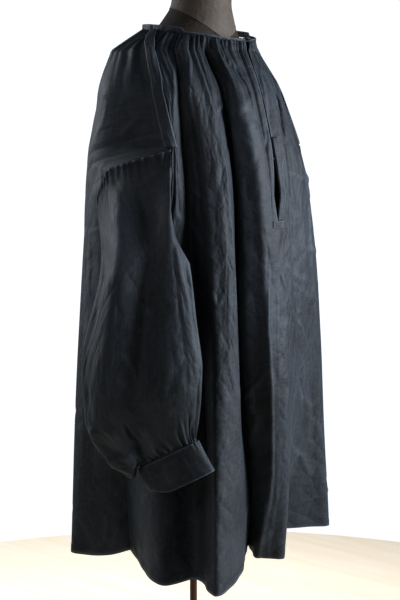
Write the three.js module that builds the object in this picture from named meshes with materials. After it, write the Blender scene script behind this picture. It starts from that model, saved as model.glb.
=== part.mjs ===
// Smock frock of dark linen, worn by a limbless dress form on a thin pole.
// Millimetres, Z up, the floor at Z = 0. The wearer faces -Y, so the wearer's right is -X.
// An angle round the body is in degrees from the front centre towards the wearer's right.
import * as THREE from "three";

const WALL = 2; // thickness of every cloth wall
const SEAM_GAP = 0.3;
const LIFT = WALL + SEAM_GAP; // from the middle of a panel to the middle of what lies on it
const NECK_Z = 1486;
const NECK_DIP = 24; // the neckline is this much lower in front
const NECK_RADIUS = 105;
const NECK_FORWARD = 15;
const HEM_Z = 480;
const SLIT_END_Z = 1140;
const STRIP_WIDTH = 20;
const STRIP_EASE = 1.5; // more room under the shoulder strips, where the panels below them bend
const PLACKET_WIDTH = 12;
const PLACKET_TOP_Z = 1290;
const CUFF_HEIGHT = 60;
const POLE_RADIUS = 7;
const BASE_RADIUS = 170;
const BASE_HEIGHT = 20;
const FORM_BOTTOM_Z = 800;

// Heights of the grid rows of both panels, from the neckline to the hem.
const ROW_HEIGHTS = [
  NECK_Z, 1468, 1445, 1410, 1365, 1318, 1270, 1235, 1185, SLIT_END_Z,
  1090, 1045, 1005, 900, 780, 660, 570, HEM_Z,
];
// The back has more rows where its edge turns along the sleeve head.
const BACK_HEIGHTS = [...ROW_HEIGHTS, 1259, 1247].sort((a, b) => b - a);

// Heights at which the fold tables give a value.
const ANGLE_HEIGHTS = [NECK_Z, 1360, 1200, 900, HEM_Z];
const RADIUS_HEIGHTS = [1445, 1360, 1200, 900, 690, HEM_Z];

// Each row is one crest or valley of the cloth, with the rise of its hem.
// Angles are at the neck, yoke, chest, hip and hem.
// Radii are at the shoulder, yoke, chest, hip, cuff level and hem.
// The first and last rows are the edges of a panel, whose angles come from EDGES.
const FRONT_FOLDS = [
  { fold: "right seam", rise: 8,
    angles: [100, 66, 61, 93, 121], radii: [164, 208, 232, 178, 156, 130] },
  { fold: "right side crest", rise: 0,
    angles: [87, 61, 56.5, 70, 64], radii: [154, 206, 226, 194, 202, 228] },
  { fold: "sleeve front valley", rise: 0,
    angles: [75, 56, 51, 49, 48], radii: [145, 194, 202, 186, 184, 188] },
  { fold: "right front crest", rise: -6,
    angles: [63, 49, 43, 40, 41], radii: [148, 192, 224, 236, 250, 264] },
  { fold: "right front flank", rise: 0,
    angles: [53, 40, 33, 30, 24], radii: [141, 184, 220, 231, 220, 196] },
  { fold: "deep front valley", rise: 12,
    angles: [43, 31, 25, 20, -25], radii: [128, 166, 166, 148, 134, 112] },
  { fold: "centre right crest", rise: 4,
    angles: [31, 22, 17, 12, -7], radii: [136, 184, 213, 222, 196, 145] },
  { fold: "centre right slope", rise: 3,
    angles: [12, 13, 11, 9, -10], radii: [126, 180, 214, 224, 204, 154] },
  { fold: "centre front", rise: 2,
    angles: [-6, 5, 5.5, 6, -12.5], radii: [126, 178, 215, 225, 208, 164] },
  { fold: "centre left crest", rise: 0,
    angles: [-15, -4, -2, -1, -18], radii: [125, 180, 217, 226, 212, 188] },
  { fold: "placket valley", rise: 4,
    angles: [-25, -12, -9, -13, -40], radii: [119, 168, 203, 213, 194, 168] },
  { fold: "left front slope", rise: 12,
    angles: [-36, -23, -21, -32, -61], radii: [122, 174, 213, 226, 206, 172] },
  { fold: "left front crest", rise: 6,
    angles: [-50, -38, -40, -50, -64], radii: [122, 163, 218, 254, 277, 306] },
  { fold: "left front valley", rise: 16,
    angles: [-65, -50, -51, -61, -70], radii: [134, 168, 205, 230, 244, 264] },
  { fold: "left side crest", rise: 30,
    angles: [-84, -60, -57, -72, -75], radii: [148, 183, 217, 208, 250, 338] },
  { fold: "left seam", rise: 20,
    angles: [-100, -66, -61, -93, -112], radii: [160, 195, 226, 182, 166, 150] },
];
const BACK_FOLDS = [
  { fold: "left seam", rise: 20,
    angles: [-100, -66, -98, -93, -112], radii: [160, 195, 226, 182, 166, 150] },
  { fold: "left shoulder ridge", rise: 20,
    angles: [-110, -90, -106, -106, -122], radii: [168, 222, 222, 200, 194, 188] },
  { fold: "left back crest", rise: 22,
    angles: [-124, -112, -120, -126, -134], radii: [146, 190, 210, 222, 236, 250] },
  { fold: "left back valley", rise: 20,
    angles: [-139, -132, -136, -141, -149], radii: [134, 164, 184, 196, 182, 164] },
  { fold: "back left crest", rise: 16,
    angles: [-155, -150, -153, -157, -164], radii: [124, 152, 182, 206, 220, 234] },
  { fold: "centre back valley", rise: 16,
    angles: [-171, -169, -171, -173, -178], radii: [117, 142, 167, 184, 176, 166] },
  { fold: "back right crest", rise: 12,
    angles: [-188, -187, -188, -189, -191], radii: [116, 144, 172, 198, 212, 226] },
  { fold: "right back valley", rise: 8,
    angles: [-205, -205, -205, -205, -206], radii: [124, 154, 182, 192, 172, 147] },
  { fold: "right back crest", rise: 0,
    angles: [-222, -226, -225, -225, -227], radii: [142, 170, 198, 221, 233, 242] },
  { fold: "right shoulder ridge", rise: 0,
    angles: [-246, -266, -251, -252, -237], radii: [168, 222, 220, 198, 186, 176] },
  { fold: "right seam", rise: 8,
    angles: [-260, -294, -262, -267, -239], radii: [164, 208, 232, 178, 156, 130] },
];
const FRONT_STEPS = 5; // grid columns from one fold row to the next
const BACK_STEPS = 4;
const SLIT_FOLD = 8; // the slit is cut down the "centre front" row

// Angle of the front's and the back's edge at a height: shoulder seam, armhole and side seam.
// The left column is what the wearer's left side seam has more than the right one; less is further forward.
const EDGES = [
  { z: NECK_Z, front: 100, back: 100, left: 0 },
  { z: 1445, front: 77, back: 77, left: 0 },
  { z: 1392, front: 69, back: 69, left: 0 },
  { z: 1346, front: 65, back: 65, left: 0 },
  { z: 1270, front: 59.4, back: 59.4, left: 0 },
  { z: 1235, front: 60, back: 90, left: 0 },
  { z: 1185, front: 62, back: 97, left: 0 },
  { z: 1090, front: 71, back: 95, left: 0 },
  { z: 1045, front: 79, back: 91, left: 0 },
  { z: 1005, front: 86, back: 86, left: 0 },
  { z: 900, front: 93, back: 93, left: 0 },
  { z: 700, front: 105, back: 105, left: -4 },
  { z: HEM_Z, front: 121, back: 121, left: -9 },
];
const UNDERARM_Z = 1005;
const SHOULDER_END_Z = 1270; // the shoulder seam ends here, at the sleeve head

// Width of the open slit and height of the gather waves at a height.
const SLIT_WIDTHS = [
  { z: SLIT_END_Z, width: 0 },
  { z: 1185, width: 15 },
  { z: 1235, width: 7 },
  { z: 1270, width: 3 },
  { z: 1410, width: 3 },
  { z: 1445, width: 5 },
  { z: NECK_Z, width: 11 },
];
const GATHER_WAVES = [
  { z: 1270, height: 0 },
  { z: 1318, height: 0.5 },
  { z: 1365, height: 1.1 },
  { z: 1410, height: 1.8 },
  { z: 1445, height: 2.4 },
  { z: NECK_Z, height: 2.6 },
];

// The hanging sleeve as level ovals: how far its middle is out to the side and forward, and its half sizes.
const SLEEVE_OVALS = [
  { z: 690, out: 244, forward: 98, halfLength: 72, halfWidth: 34 },
  { z: 740, out: 248, forward: 96, halfLength: 92, halfWidth: 42 },
  { z: 790, out: 252, forward: 94, halfLength: 108, halfWidth: 48 },
  { z: 880, out: 253, forward: 91, halfLength: 110, halfWidth: 50 },
  { z: 1000, out: 249, forward: 92, halfLength: 90, halfWidth: 46 },
  { z: 1100, out: 244, forward: 93, halfLength: 72, halfWidth: 42 },
  { z: 1180, out: 238, forward: 92, halfLength: 60, halfWidth: 36 },
  { z: 1280, out: 232, forward: 84, halfLength: 54, halfWidth: 26 },
];
const SLEEVE_COLUMNS = 36; // one each 10 degrees, so that the cuff has the same corners
const SLEEVE_ROWS = [0, 0.04, 0.1, 0.19, 0.31, 0.44, 0.57, 0.69, 0.79, 0.85, 0.9, 0.94, 1];
const SLEEVE_HEAD_LIFT = 3.4; // the sleeve head lies this far outside the armhole edge
const RIGHT_SLEEVE = { side: "right", mirror: 1, turn: 20, back: 0, out: 0 };
const LEFT_SLEEVE = { side: "left", mirror: -1, turn: 4, back: 146, out: 46 };
const CUFF = { out: 219, forward: 128, z: 733, halfLength: 63, halfWidth: 19, lean: 28, openAngle: 9 };
const CUFF_LAP = 4; // how far the gathered sleeve end reaches into the cuff

// The dress form as level ovals, from the bottom up.
const FORM_OVALS = [
  { z: FORM_BOTTOM_Z, halfWide: 142, halfDeep: 100, forward: 0 },
  { z: 830, halfWide: 156, halfDeep: 112, forward: 0 },
  { z: 880, halfWide: 158, halfDeep: 116, forward: 0 },
  { z: 960, halfWide: 142, halfDeep: 108, forward: 2 },
  { z: 1050, halfWide: 112, halfDeep: 90, forward: 6 },
  { z: 1130, halfWide: 126, halfDeep: 100, forward: 8 },
  { z: 1220, halfWide: 148, halfDeep: 118, forward: 10 },
  { z: 1300, halfWide: 164, halfDeep: 112, forward: 6 },
  { z: 1360, halfWide: 184, halfDeep: 104, forward: 0 },
  { z: 1400, halfWide: 182, halfDeep: 96, forward: -4 },
  { z: 1430, halfWide: 171, halfDeep: 88, forward: -6 },
  { z: 1455, halfWide: 134, halfDeep: 82, forward: -4 },
  { z: 1480, halfWide: 92, halfDeep: 76, forward: 4 },
  { z: 1505, halfWide: 68, halfDeep: 68, forward: 12 },
  { z: 1535, halfWide: 56, halfDeep: 57, forward: 20 },
  { z: 1590, halfWide: 52, halfDeep: 54, forward: 25 },
  { z: 1602, halfWide: 46, halfDeep: 48, forward: 26 },
];
const FORM_COLUMNS = 28;

const { degToRad, lerp, smoothstep } = THREE.MathUtils;

// Value of one column of a table of rising or falling heights, by straight lines between its rows.
function lookUp(table, column, z) {
  const rows = [...table].sort((a, b) => a.z - b.z);
  const above = rows.findIndex((row) => row.z >= z);
  if (above === 0) return rows[0][column];
  if (above < 0) return rows[rows.length - 1][column];
  const share = (z - rows[above - 1].z) / (rows[above].z - rows[above - 1].z);
  return lerp(rows[above - 1][column], rows[above][column], share);
}

// Smooth value at z through falling heights and their values, with no overshoot between them.
function smoothValue(heights, values, z) {
  const last = heights.length - 1;
  if (z >= heights[0]) return values[0];
  if (z <= heights[last]) return values[last];
  const i = heights.findIndex((height, k) => k < last && z >= heights[k + 1]);
  const slope = (k) => (values[k + 1] - values[k]) / (heights[k + 1] - heights[k]);
  const tangent = (k) => {
    if (k === 0) return slope(0);
    if (k === last) return slope(last - 1);
    const [before, after] = [slope(k - 1), slope(k)];
    return before * after <= 0 ? 0 : (2 * before * after) / (before + after);
  };
  const span = heights[i + 1] - heights[i];
  const u = (z - heights[i]) / span;
  return (
    (1 + 2 * u) * (1 - u) ** 2 * values[i] +
    u * (1 - u) ** 2 * span * tangent(i) +
    u * u * (3 - 2 * u) * values[i + 1] +
    u * u * (u - 1) * span * tangent(i + 1)
  );
}

// Point at an angle and radius round the body, at a height.
function bodyPoint(angle, radius, z) {
  return new THREE.Vector3(-radius * Math.sin(degToRad(angle)), -radius * Math.cos(degToRad(angle)), z);
}

// Point of the neckline, which is a tilted ring a little in front of the axis.
function neckPoint(angle) {
  const forward = (1 + Math.cos(degToRad(angle))) / 2;
  const point = bodyPoint(angle, NECK_RADIUS, NECK_Z - NECK_DIP * forward ** 2);
  point.y -= NECK_FORWARD;
  return point;
}

// Angle of a fold row at a height. The first and last rows follow the panel's edges.
function foldAngle(panel, index, z) {
  const row = panel.folds[index];
  if (index > 0 && index < panel.folds.length - 1) return smoothValue(ANGLE_HEIGHTS, row.angles, z);
  const edge = lookUp(EDGES, panel.edge, z);
  if (row.fold === "left seam") return -edge - lookUp(EDGES, "left", z);
  return panel.edge === "back" ? edge - 360 : edge;
}

// Point of a fold row at a height. Above the shoulder it goes over to the neckline.
function foldPoint(panel, index, z) {
  const row = panel.folds[index];
  const angle = foldAngle(panel, index, z);
  const [shoulderZ] = RADIUS_HEIGHTS;
  const height = Math.min(z, shoulderZ) + row.rise * (1 - smoothstep(z, HEM_Z, 900));
  const point = bodyPoint(angle, smoothValue(RADIUS_HEIGHTS, row.radii, z), height);
  const neckShare = Math.max(0, (z - shoulderZ) / (NECK_Z - shoulderZ));
  return point.lerp(neckPoint(angle), neckShare);
}

// Middle line of a panel at a height, as one smooth curve through its fold rows.
function sectionPoints(panel, z) {
  const keys = panel.folds.map((_, index) => foldPoint(panel, index, z));
  const curve = new THREE.CatmullRomCurve3(keys, false, "centripetal");
  const count = (keys.length - 1) * panel.steps;
  return Array.from({ length: count + 1 }, (_, column) => curve.getPoint(column / count));
}

// Outward normals of a grid of points, from the directions down and along it.
function gridNormals(rows, outward = 1) {
  const around = (list, k) => [list[Math.max(0, k - 1)], list[Math.min(list.length - 1, k + 1)]];
  return rows.map((row, i) => {
    const [above, below] = around(rows, i);
    return row.map((_, j) => {
      const [before, after] = around(row, j);
      const down = below[j].clone().sub(above[j]);
      const along = after.clone().sub(before);
      return down.cross(along).normalize().multiplyScalar(outward);
    });
  });
}

// A thin sheet that becomes one closed wall. Grids that share points are joined there.
class Sheet {
  constructor() {
    this.points = [];
    this.normals = [];
    this.faces = [];
    this.known = new Map();
  }

  vertex(point, normal) {
    const key = point.toArray().map((value) => Math.round(value * 500)).join(",");
    if (!this.known.has(key)) {
      this.known.set(key, this.points.length);
      this.points.push(point.clone());
      this.normals.push(new THREE.Vector3());
    }
    const index = this.known.get(key);
    this.normals[index].add(normal);
    return index;
  }

  addGrid(rows, normals, outward = 1) {
    const index = rows.map((row, i) => row.map((point, j) => this.vertex(point, normals[i][j])));
    for (let i = 0; i + 1 < index.length; i++) {
      for (let j = 0; j + 1 < index[i].length; j++) {
        const corners = [index[i][j], index[i + 1][j], index[i + 1][j + 1], index[i][j + 1]];
        if (outward < 0) corners.reverse();
        const [a, b, c, d] = corners;
        for (const face of [[a, b, c], [a, c, d]]) if (new Set(face).size === 3) this.faces.push(face);
      }
    }
    return this;
  }

  // The closed wall: both sides, and a strip round every free edge.
  geometry(thickness) {
    const count = this.points.length;
    const side = (sign) =>
      this.points.flatMap((point, k) =>
        point.clone().addScaledVector(this.normals[k].normalize(), (sign * thickness) / 2).toArray(),
      );
    const triangles = [];
    const edges = new Set(this.faces.flatMap(([a, b, c]) => [`${a},${b}`, `${b},${c}`, `${c},${a}`]));
    for (const [a, b, c] of this.faces) {
      triangles.push(a, b, c, a + count, c + count, b + count);
      for (const [p, q] of [[a, b], [b, c], [c, a]]) {
        if (!edges.has(`${q},${p}`)) triangles.push(q, p, p + count, q, p + count, q + count);
      }
    }
    const made = new THREE.BufferGeometry();
    made.setAttribute("position", new THREE.Float32BufferAttribute([...side(1), ...side(-1)], 3));
    made.setIndex(triangles);
    made.computeVertexNormals();
    return made;
  }
}

const object = new THREE.Group();
const linen = { color: 0x15191c, roughness: 0.72, metalness: 0 };
const formCloth = { color: 0x4a443f, roughness: 0.95, metalness: 0 };
const poleMetal = { color: 0x6a5a4c, roughness: 0.45, metalness: 0.6 };

function addMesh(name, geometry, finish) {
  const mesh = new THREE.Mesh(geometry, new THREE.MeshStandardMaterial(finish));
  mesh.name = name;
  object.add(mesh);
  return mesh;
}

// Point at a length along a row of points from its start; a negative length goes past the start.
function pointAlong(points, length) {
  let left = length;
  for (let k = 0; k + 1 < points.length; k++) {
    const step = points[k].distanceTo(points[k + 1]);
    if (left <= step) return points[k].clone().lerp(points[k + 1], left / step);
    left -= step;
  }
  return points[points.length - 1].clone();
}

const FRONT = { edge: "front", folds: FRONT_FOLDS, steps: FRONT_STEPS };
const BACK = { edge: "back", folds: BACK_FOLDS, steps: BACK_STEPS };
const SLIT_COLUMN = SLIT_FOLD * FRONT_STEPS;
const SLIT_SPREAD = 4; // columns beside the slit that give way as it opens

// Points of half of the front at a height, from the seam to the slit's edge. sign is 1 on the right half.
function frontHalf(z, sign) {
  const points = sectionPoints(FRONT, z);
  const half = sign > 0 ? points.slice(0, SLIT_COLUMN + 1) : points.slice(SLIT_COLUMN);
  const along = points[SLIT_COLUMN + 1].clone().sub(points[SLIT_COLUMN - 1]).normalize();
  const opening = z > SLIT_END_Z ? lookUp(SLIT_WIDTHS, "width", z) / 2 : 0;
  half.forEach((point, k) => {
    const columns = sign > 0 ? half.length - 1 - k : k;
    const share = Math.max(0, 1 - columns / SLIT_SPREAD);
    point.addScaledVector(along, -sign * opening * share);
  });
  return half;
}

// Moves each second column out and the others in, as gathers, flat beside the shoulder strips.
function gatherWaves({ heights, rows, normals }, firstColumn, edgeRows) {
  rows.forEach((row, i) => {
    const height = lookUp(GATHER_WAVES, "height", heights[i]);
    row.forEach((point, j) => {
      const nearest = Math.min(...edgeRows[i].map((edge) => edge.distanceTo(point)));
      const share = smoothstep(nearest, STRIP_WIDTH / 2 + 2, STRIP_WIDTH * 1.4);
      const sign = (firstColumn + j) % 2 ? 1 : -1;
      point.addScaledVector(normals[i][j], sign * height * share);
    });
  });
}

// Normals of a panel, level along the neckline so that its top edge stays in the ring.
function panelNormals(rows) {
  const normals = gridNormals(rows);
  normals[0].forEach((normal) => normal.setZ(0).normalize());
  return normals;
}

// Leaves the seam gap at the panel's edge by moving its last point a little inwards.
function trimEdge(row, end) {
  const [edge, inner] = end === "start" ? [0, 1] : [row.length - 1, row.length - 2];
  const inward = row[inner].clone().sub(row[edge]).normalize();
  row[edge].addScaledVector(inward, SEAM_GAP);
}

// Grid rows, normals and edges of the panels. front[1] is its right half and front[-1] its left half.
function panelGrids() {
  const frontGrid = (sign) => ({ heights: ROW_HEIGHTS, rows: ROW_HEIGHTS.map((z) => frontHalf(z, sign)) });
  const back = { heights: BACK_HEIGHTS, rows: BACK_HEIGHTS.map((z) => sectionPoints(BACK, z)) };
  const front = { 1: frontGrid(1), [-1]: frontGrid(-1) };
  for (const grid of [front[1], front[-1], back]) grid.normals = panelNormals(grid.rows);
  joinSeamNormals(front[1], "start", back, "end");
  joinSeamNormals(front[-1], "end", back, "start");
  return { front, back };
}

// Gives both sides of a sewn seam one normal, so that their cut edges stay parallel.
function joinSeamNormals(grid, end, other, otherEnd) {
  grid.heights.forEach((z, i) => {
    if (z < SHOULDER_END_Z && z > UNDERARM_Z) return;
    const pick = (row, which) => row[which === "start" ? 0 : row.length - 1];
    const mine = pick(grid.normals[i], end);
    const theirs = pick(other.normals[other.heights.indexOf(z)], otherEnd);
    mine.add(theirs).normalize();
    theirs.copy(mine);
  });
}

function finishPanel(sheet, grid, ends, firstColumn) {
  const edgePoint = (row, end) => row[end === "start" ? 0 : row.length - 1].clone();
  const edges = grid.rows.map((row) => ends.map((end) => edgePoint(row, end)));
  grid.rows.forEach((row) => ends.forEach((end) => trimEdge(row, end)));
  gatherWaves(grid, firstColumn, edges);
  return sheet.addGrid(grid.rows, grid.normals);
}

function buildPanels() {
  const { front, back } = panelGrids();
  buildNeckband(front, back);
  const frontSheet = new Sheet();
  finishPanel(frontSheet, front[1], ["start"], 0);
  finishPanel(frontSheet, front[-1], ["end"], SLIT_COLUMN);
  addMesh("front_panel", frontSheet.geometry(WALL), linen);
  addMesh("back_panel", finishPanel(new Sheet(), back, ["start", "end"], 0).geometry(WALL), linen);
}

// Points moved out from the surface that they lie on.
function lifted(rows, normals, distance) {
  const move = (point, normal) => point.clone().addScaledVector(normal, distance);
  return rows.map((row, i) => row.map((point, j) => move(point, normals[i][j])));
}

// A strip over each shoulder seam, from the neckline to the sleeve head.
function buildShoulderStrips() {
  const heights = [...ROW_HEIGHTS.filter((z) => z > SHOULDER_END_Z), SHOULDER_END_Z + 6];
  const offsets = [STRIP_WIDTH / 2, STRIP_WIDTH / 4];
  for (const side of ["right", "left"]) {
    const rows = heights.map((z) => {
      const front = side === "right" ? frontHalf(z, 1) : frontHalf(z, -1).reverse();
      const back = side === "right" ? sectionPoints(BACK, z).reverse() : sectionPoints(BACK, z);
      const before = offsets.map((offset) => pointAlong(back, offset));
      const after = [...offsets].reverse().map((offset) => pointAlong(front, offset));
      return [...before, front[0].clone(), ...after];
    });
    const outward = side === "right" ? 1 : -1;
    const normals = gridNormals(rows, outward);
    normals[0].forEach((normal) => normal.setZ(0).normalize());
    const sheet = new Sheet().addGrid(lifted(rows, normals, LIFT + STRIP_EASE), normals, outward);
    addMesh(`shoulder_strip_${side}`, sheet.geometry(WALL), linen);
  }
}

// The strip on the slit's left edge, with the bar that closes the slit's lower end.
function buildPlacket() {
  const columns = [0.6, PLACKET_WIDTH / 2, PLACKET_WIDTH];
  const slitHeights = ROW_HEIGHTS.filter((z) => z < PLACKET_TOP_Z && z > SLIT_END_Z);
  const strip = [PLACKET_TOP_Z, ...slitHeights, SLIT_END_Z].map((z) => {
    const left = frontHalf(z, -1);
    return columns.map((length) => pointAlong(left, length));
  });
  const bar = [SLIT_END_Z, SLIT_END_Z - PLACKET_WIDTH].map((z) => {
    const right = frontHalf(z, 1).reverse();
    const left = frontHalf(z, -1);
    const rightPart = [PLACKET_WIDTH, PLACKET_WIDTH / 2].map((length) => pointAlong(right, length));
    return [...rightPart, ...columns.map((length) => pointAlong(left, length))];
  });
  const normals = gridNormals([...strip, bar[1].slice(2)]);
  const barNormals = gridNormals(bar);
  barNormals[0].splice(2, 3, ...normals[strip.length - 1]);
  const sheet = new Sheet();
  sheet.addGrid(lifted(strip, normals, LIFT), normals.slice(0, strip.length));
  sheet.addGrid(lifted(bar, barNormals, LIFT), barNormals);
  addMesh("placket_strip", sheet.geometry(WALL), linen);
}

// The narrow neckband on top of the gathers, taller round the back and shoulders than in front.
function buildNeckband(front, back) {
  const thickness = 3;
  const backHeight = 11;
  const frontHeight = 5;
  const stepAngle = 66;
  const ring = [...back.rows[0], ...front[1].rows[0].slice(1)];
  ring.unshift(...front[-1].rows[0].slice(0, -1));
  const heightAt = (point) => {
    const fromFront = THREE.MathUtils.radToDeg(Math.atan2(Math.abs(point.x), -point.y - NECK_FORWARD));
    return lerp(frontHeight, backHeight, smoothstep(fromFront, stepAngle - 4, stepAngle + 4));
  };
  const raised = (heightOf) =>
    ring.map((point) => point.clone().setZ(point.z + SEAM_GAP + heightOf(point)));
  const rows = [raised(heightAt), raised(() => 0)];
  const normals = gridNormals(rows);
  normals.flat().forEach((normal) => normal.setZ(0).normalize());
  addMesh("neckband", new Sheet().addGrid(rows, normals).geometry(thickness), linen);
}

// Points of the armhole edge, from the sleeve head back, down to the underarm and up again in front.
function armholePoints(side) {
  const inArmhole = (z) => z <= SHOULDER_END_Z && z >= UNDERARM_Z;
  const last = (panel) => panel.folds.length - 1;
  const backIndex = side === "right" ? last(BACK) : 0;
  const frontIndex = side === "right" ? 0 : last(FRONT);
  const backEdge = BACK_HEIGHTS.filter(inArmhole).map((z) => foldPoint(BACK, backIndex, z));
  const frontEdge = ROW_HEIGHTS.filter(inArmhole).map((z) => foldPoint(FRONT, frontIndex, z)).reverse();
  return [...backEdge, ...frontEdge.slice(1)];
}

// Middle and axes of the level oval of a hanging sleeve at a height.
function sleeveOval(sleeve, z) {
  const drop = smoothstep(SHOULDER_END_Z - z, 0, 220);
  const out = lookUp(SLEEVE_OVALS, "out", z) + sleeve.out * drop;
  const forward = lookUp(SLEEVE_OVALS, "forward", z) - sleeve.back * drop;
  const turn = degToRad(sleeve.turn);
  return {
    middle: new THREE.Vector3(-sleeve.mirror * out, -forward, z),
    front: new THREE.Vector3(sleeve.mirror * Math.sin(turn), -Math.cos(turn), 0),
    side: new THREE.Vector3(-sleeve.mirror * Math.cos(turn), -Math.sin(turn), 0),
    halfLength: lookUp(SLEEVE_OVALS, "halfLength", z),
    halfWidth: lookUp(SLEEVE_OVALS, "halfWidth", z),
  };
}

// The cuff's own axes: it leans forward at its lower end.
function cuffFrame(sleeve) {
  const { front, side } = sleeveOval(sleeve, CUFF.z);
  const lean = degToRad(CUFF.lean);
  const up = new THREE.Vector3(0, 0, 1);
  const out = CUFF.out + sleeve.out;
  return {
    middle: new THREE.Vector3(-sleeve.mirror * out, -CUFF.forward + sleeve.back, CUFF.z),
    front: front.clone().multiplyScalar(Math.cos(lean)).addScaledVector(up, Math.sin(lean)),
    side,
    down: front.clone().multiplyScalar(Math.sin(lean)).addScaledVector(up, -Math.cos(lean)),
  };
}

// Point of an oval at an angle from its front tip, going round its outer side first.
function ovalPoint(oval, halfLength, halfWidth, angle) {
  return oval.middle
    .clone()
    .addScaledVector(oval.front, halfLength * Math.cos(angle))
    .addScaledVector(oval.side, halfWidth * Math.sin(angle));
}

function buildSleeve(sleeve) {
  const armhole = armholePoints(sleeve.side);
  const lengths = armhole.map((point, k) => (k ? point.distanceTo(armhole[k - 1]) : 0));
  const total = lengths.reduce((sum, length) => sum + length, 0);
  const cuff = cuffFrame(sleeve);
  const startAngle = degToRad(30); // the sleeve head's front corner, on the hanging oval
  const blendRows = 0.34;
  const cuffStart = 0.79;
  const gatheredFrom = 0.94;
  const inset = LIFT + 0.9;
  const rows = SLEEVE_ROWS.map((v) =>
    Array.from({ length: SLEEVE_COLUMNS + 1 }, (_, column) => {
      const round = (column % SLEEVE_COLUMNS) / SLEEVE_COLUMNS;
      const angle = startAngle + round * 2 * Math.PI;
      const edge = pointAlong(armhole, round * total);
      const outward = new THREE.Vector3(edge.x, edge.y, 0).normalize();
      edge.addScaledVector(outward, SLEEVE_HEAD_LIFT);
      const droop = 60 * Math.max(0, -Math.cos(angle)) ** 2;
      const cuffTop = ovalPoint(cuff, CUFF.halfLength - inset, CUFF.halfWidth - inset, angle);
      const z = lerp(edge.z, cuffTop.z - droop, v);
      const oval = sleeveOval(sleeve, z);
      const hanging = ovalPoint(oval, oval.halfLength, oval.halfWidth, angle);
      const blend = smoothstep(v, 0, blendRows);
      const point = new THREE.Vector3(lerp(edge.x, hanging.x, blend), lerp(edge.y, hanging.y, blend), z);
      const lift = (1 - v) * ((CUFF_LAP + 3) / (1 - gatheredFrom)) - CUFF_LAP;
      return point.lerp(cuffTop.addScaledVector(cuff.down, -lift), smoothstep(v, cuffStart, gatheredFrom));
    }),
  );
  const outward = sleeve.mirror > 0 ? -1 : 1;
  const normals = gridNormals(rows, outward);
  rows.forEach((row, i) => {
    const v = SLEEVE_ROWS[i];
    const headWave = 0.8 * (1 - smoothstep(v, 0.02, 0.19));
    const cuffWave = v >= gatheredFrom ? 0.4 : 3 * smoothstep(v, 0.69, 0.86);
    const wave = (j) => (j % 2 ? 1 : -1) * (headWave + cuffWave);
    row.forEach((point, j) => point.addScaledVector(normals[i][j], wave(j)));
  });
  normals.forEach((row) => {
    const seam = row[0].clone().add(row[SLEEVE_COLUMNS]).normalize();
    row[0].copy(seam);
    row[SLEEVE_COLUMNS].copy(seam);
  });
  const sheet = new Sheet().addGrid(rows, normals, outward);
  addMesh(`sleeve_${sleeve.side}`, sheet.geometry(WALL), linen);
}

function buildCuff(sleeve) {
  const cuff = cuffFrame(sleeve);
  const opening = CUFF.openAngle / 2;
  const flare = 2;
  const step = 360 / SLEEVE_COLUMNS;
  const rows = [0, CUFF_HEIGHT / 2, CUFF_HEIGHT].map((down) =>
    Array.from({ length: SLEEVE_COLUMNS + 1 }, (_, k) => {
      const angle = degToRad(THREE.MathUtils.clamp(k * step, opening, 360 - opening));
      const wider = (flare * down) / CUFF_HEIGHT;
      const point = ovalPoint(cuff, CUFF.halfLength + wider, CUFF.halfWidth + wider, angle);
      return point.addScaledVector(cuff.down, down);
    }),
  );
  const outward = sleeve.mirror > 0 ? -1 : 1;
  const sheet = new Sheet().addGrid(rows, gridNormals(rows, outward), outward);
  addMesh(`cuff_${sleeve.side}`, sheet.geometry(WALL), linen);
}

// The limbless dress form, one smooth solid from its base to a plain neck top.
function buildForm() {
  const ring = ({ z, halfWide, halfDeep, forward }) =>
    Array.from({ length: FORM_COLUMNS }, (_, k) => {
      const angle = (2 * Math.PI * k) / FORM_COLUMNS;
      return new THREE.Vector3(halfWide * Math.cos(angle), halfDeep * Math.sin(angle) - forward, z);
    });
  const rings = FORM_OVALS.map(ring);
  const positions = rings.flat().flatMap((point) => point.toArray());
  const [lowest, highest] = [FORM_OVALS[0], FORM_OVALS[FORM_OVALS.length - 1]];
  const bottom = positions.length / 3;
  positions.push(0, -lowest.forward, lowest.z, 0, -highest.forward, highest.z);
  const triangles = [];
  for (let k = 0; k < FORM_COLUMNS; k++) {
    const next = (k + 1) % FORM_COLUMNS;
    for (let i = 0; i + 1 < rings.length; i++) {
      const [low, high] = [i * FORM_COLUMNS, (i + 1) * FORM_COLUMNS];
      triangles.push(low + k, low + next, high + next, low + k, high + next, high + k);
    }
    const top = (rings.length - 1) * FORM_COLUMNS;
    triangles.push(bottom, next, k, bottom + 1, top + k, top + next);
  }
  const geometry = new THREE.BufferGeometry();
  geometry.setAttribute("position", new THREE.Float32BufferAttribute(positions, 3));
  geometry.setIndex(triangles);
  geometry.computeVertexNormals();
  addMesh("dress_form", geometry, formCloth);
}

// A round base with a rounded rim, and the pole that carries the form.
function buildStand() {
  const rim = 6;
  const profile = [
    new THREE.Vector2(0, 0),
    new THREE.Vector2(BASE_RADIUS - 2, 0),
    new THREE.Vector2(BASE_RADIUS, 2),
    new THREE.Vector2(BASE_RADIUS, BASE_HEIGHT - rim),
    new THREE.Vector2(BASE_RADIUS - rim * 0.3, BASE_HEIGHT - rim * 0.3),
    new THREE.Vector2(BASE_RADIUS - rim, BASE_HEIGHT),
    new THREE.Vector2(0, BASE_HEIGHT),
  ];
  const base = addMesh("stand_base", new THREE.LatheGeometry(profile, 48), poleMetal);
  base.rotation.x = Math.PI / 2;
  const length = FORM_BOTTOM_Z - BASE_HEIGHT - 2 * SEAM_GAP;
  const tube = new THREE.CylinderGeometry(POLE_RADIUS, POLE_RADIUS, length, 20);
  const pole = addMesh("stand_pole", tube, poleMetal);
  pole.rotation.x = Math.PI / 2;
  pole.position.z = BASE_HEIGHT + SEAM_GAP + length / 2;
}

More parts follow.
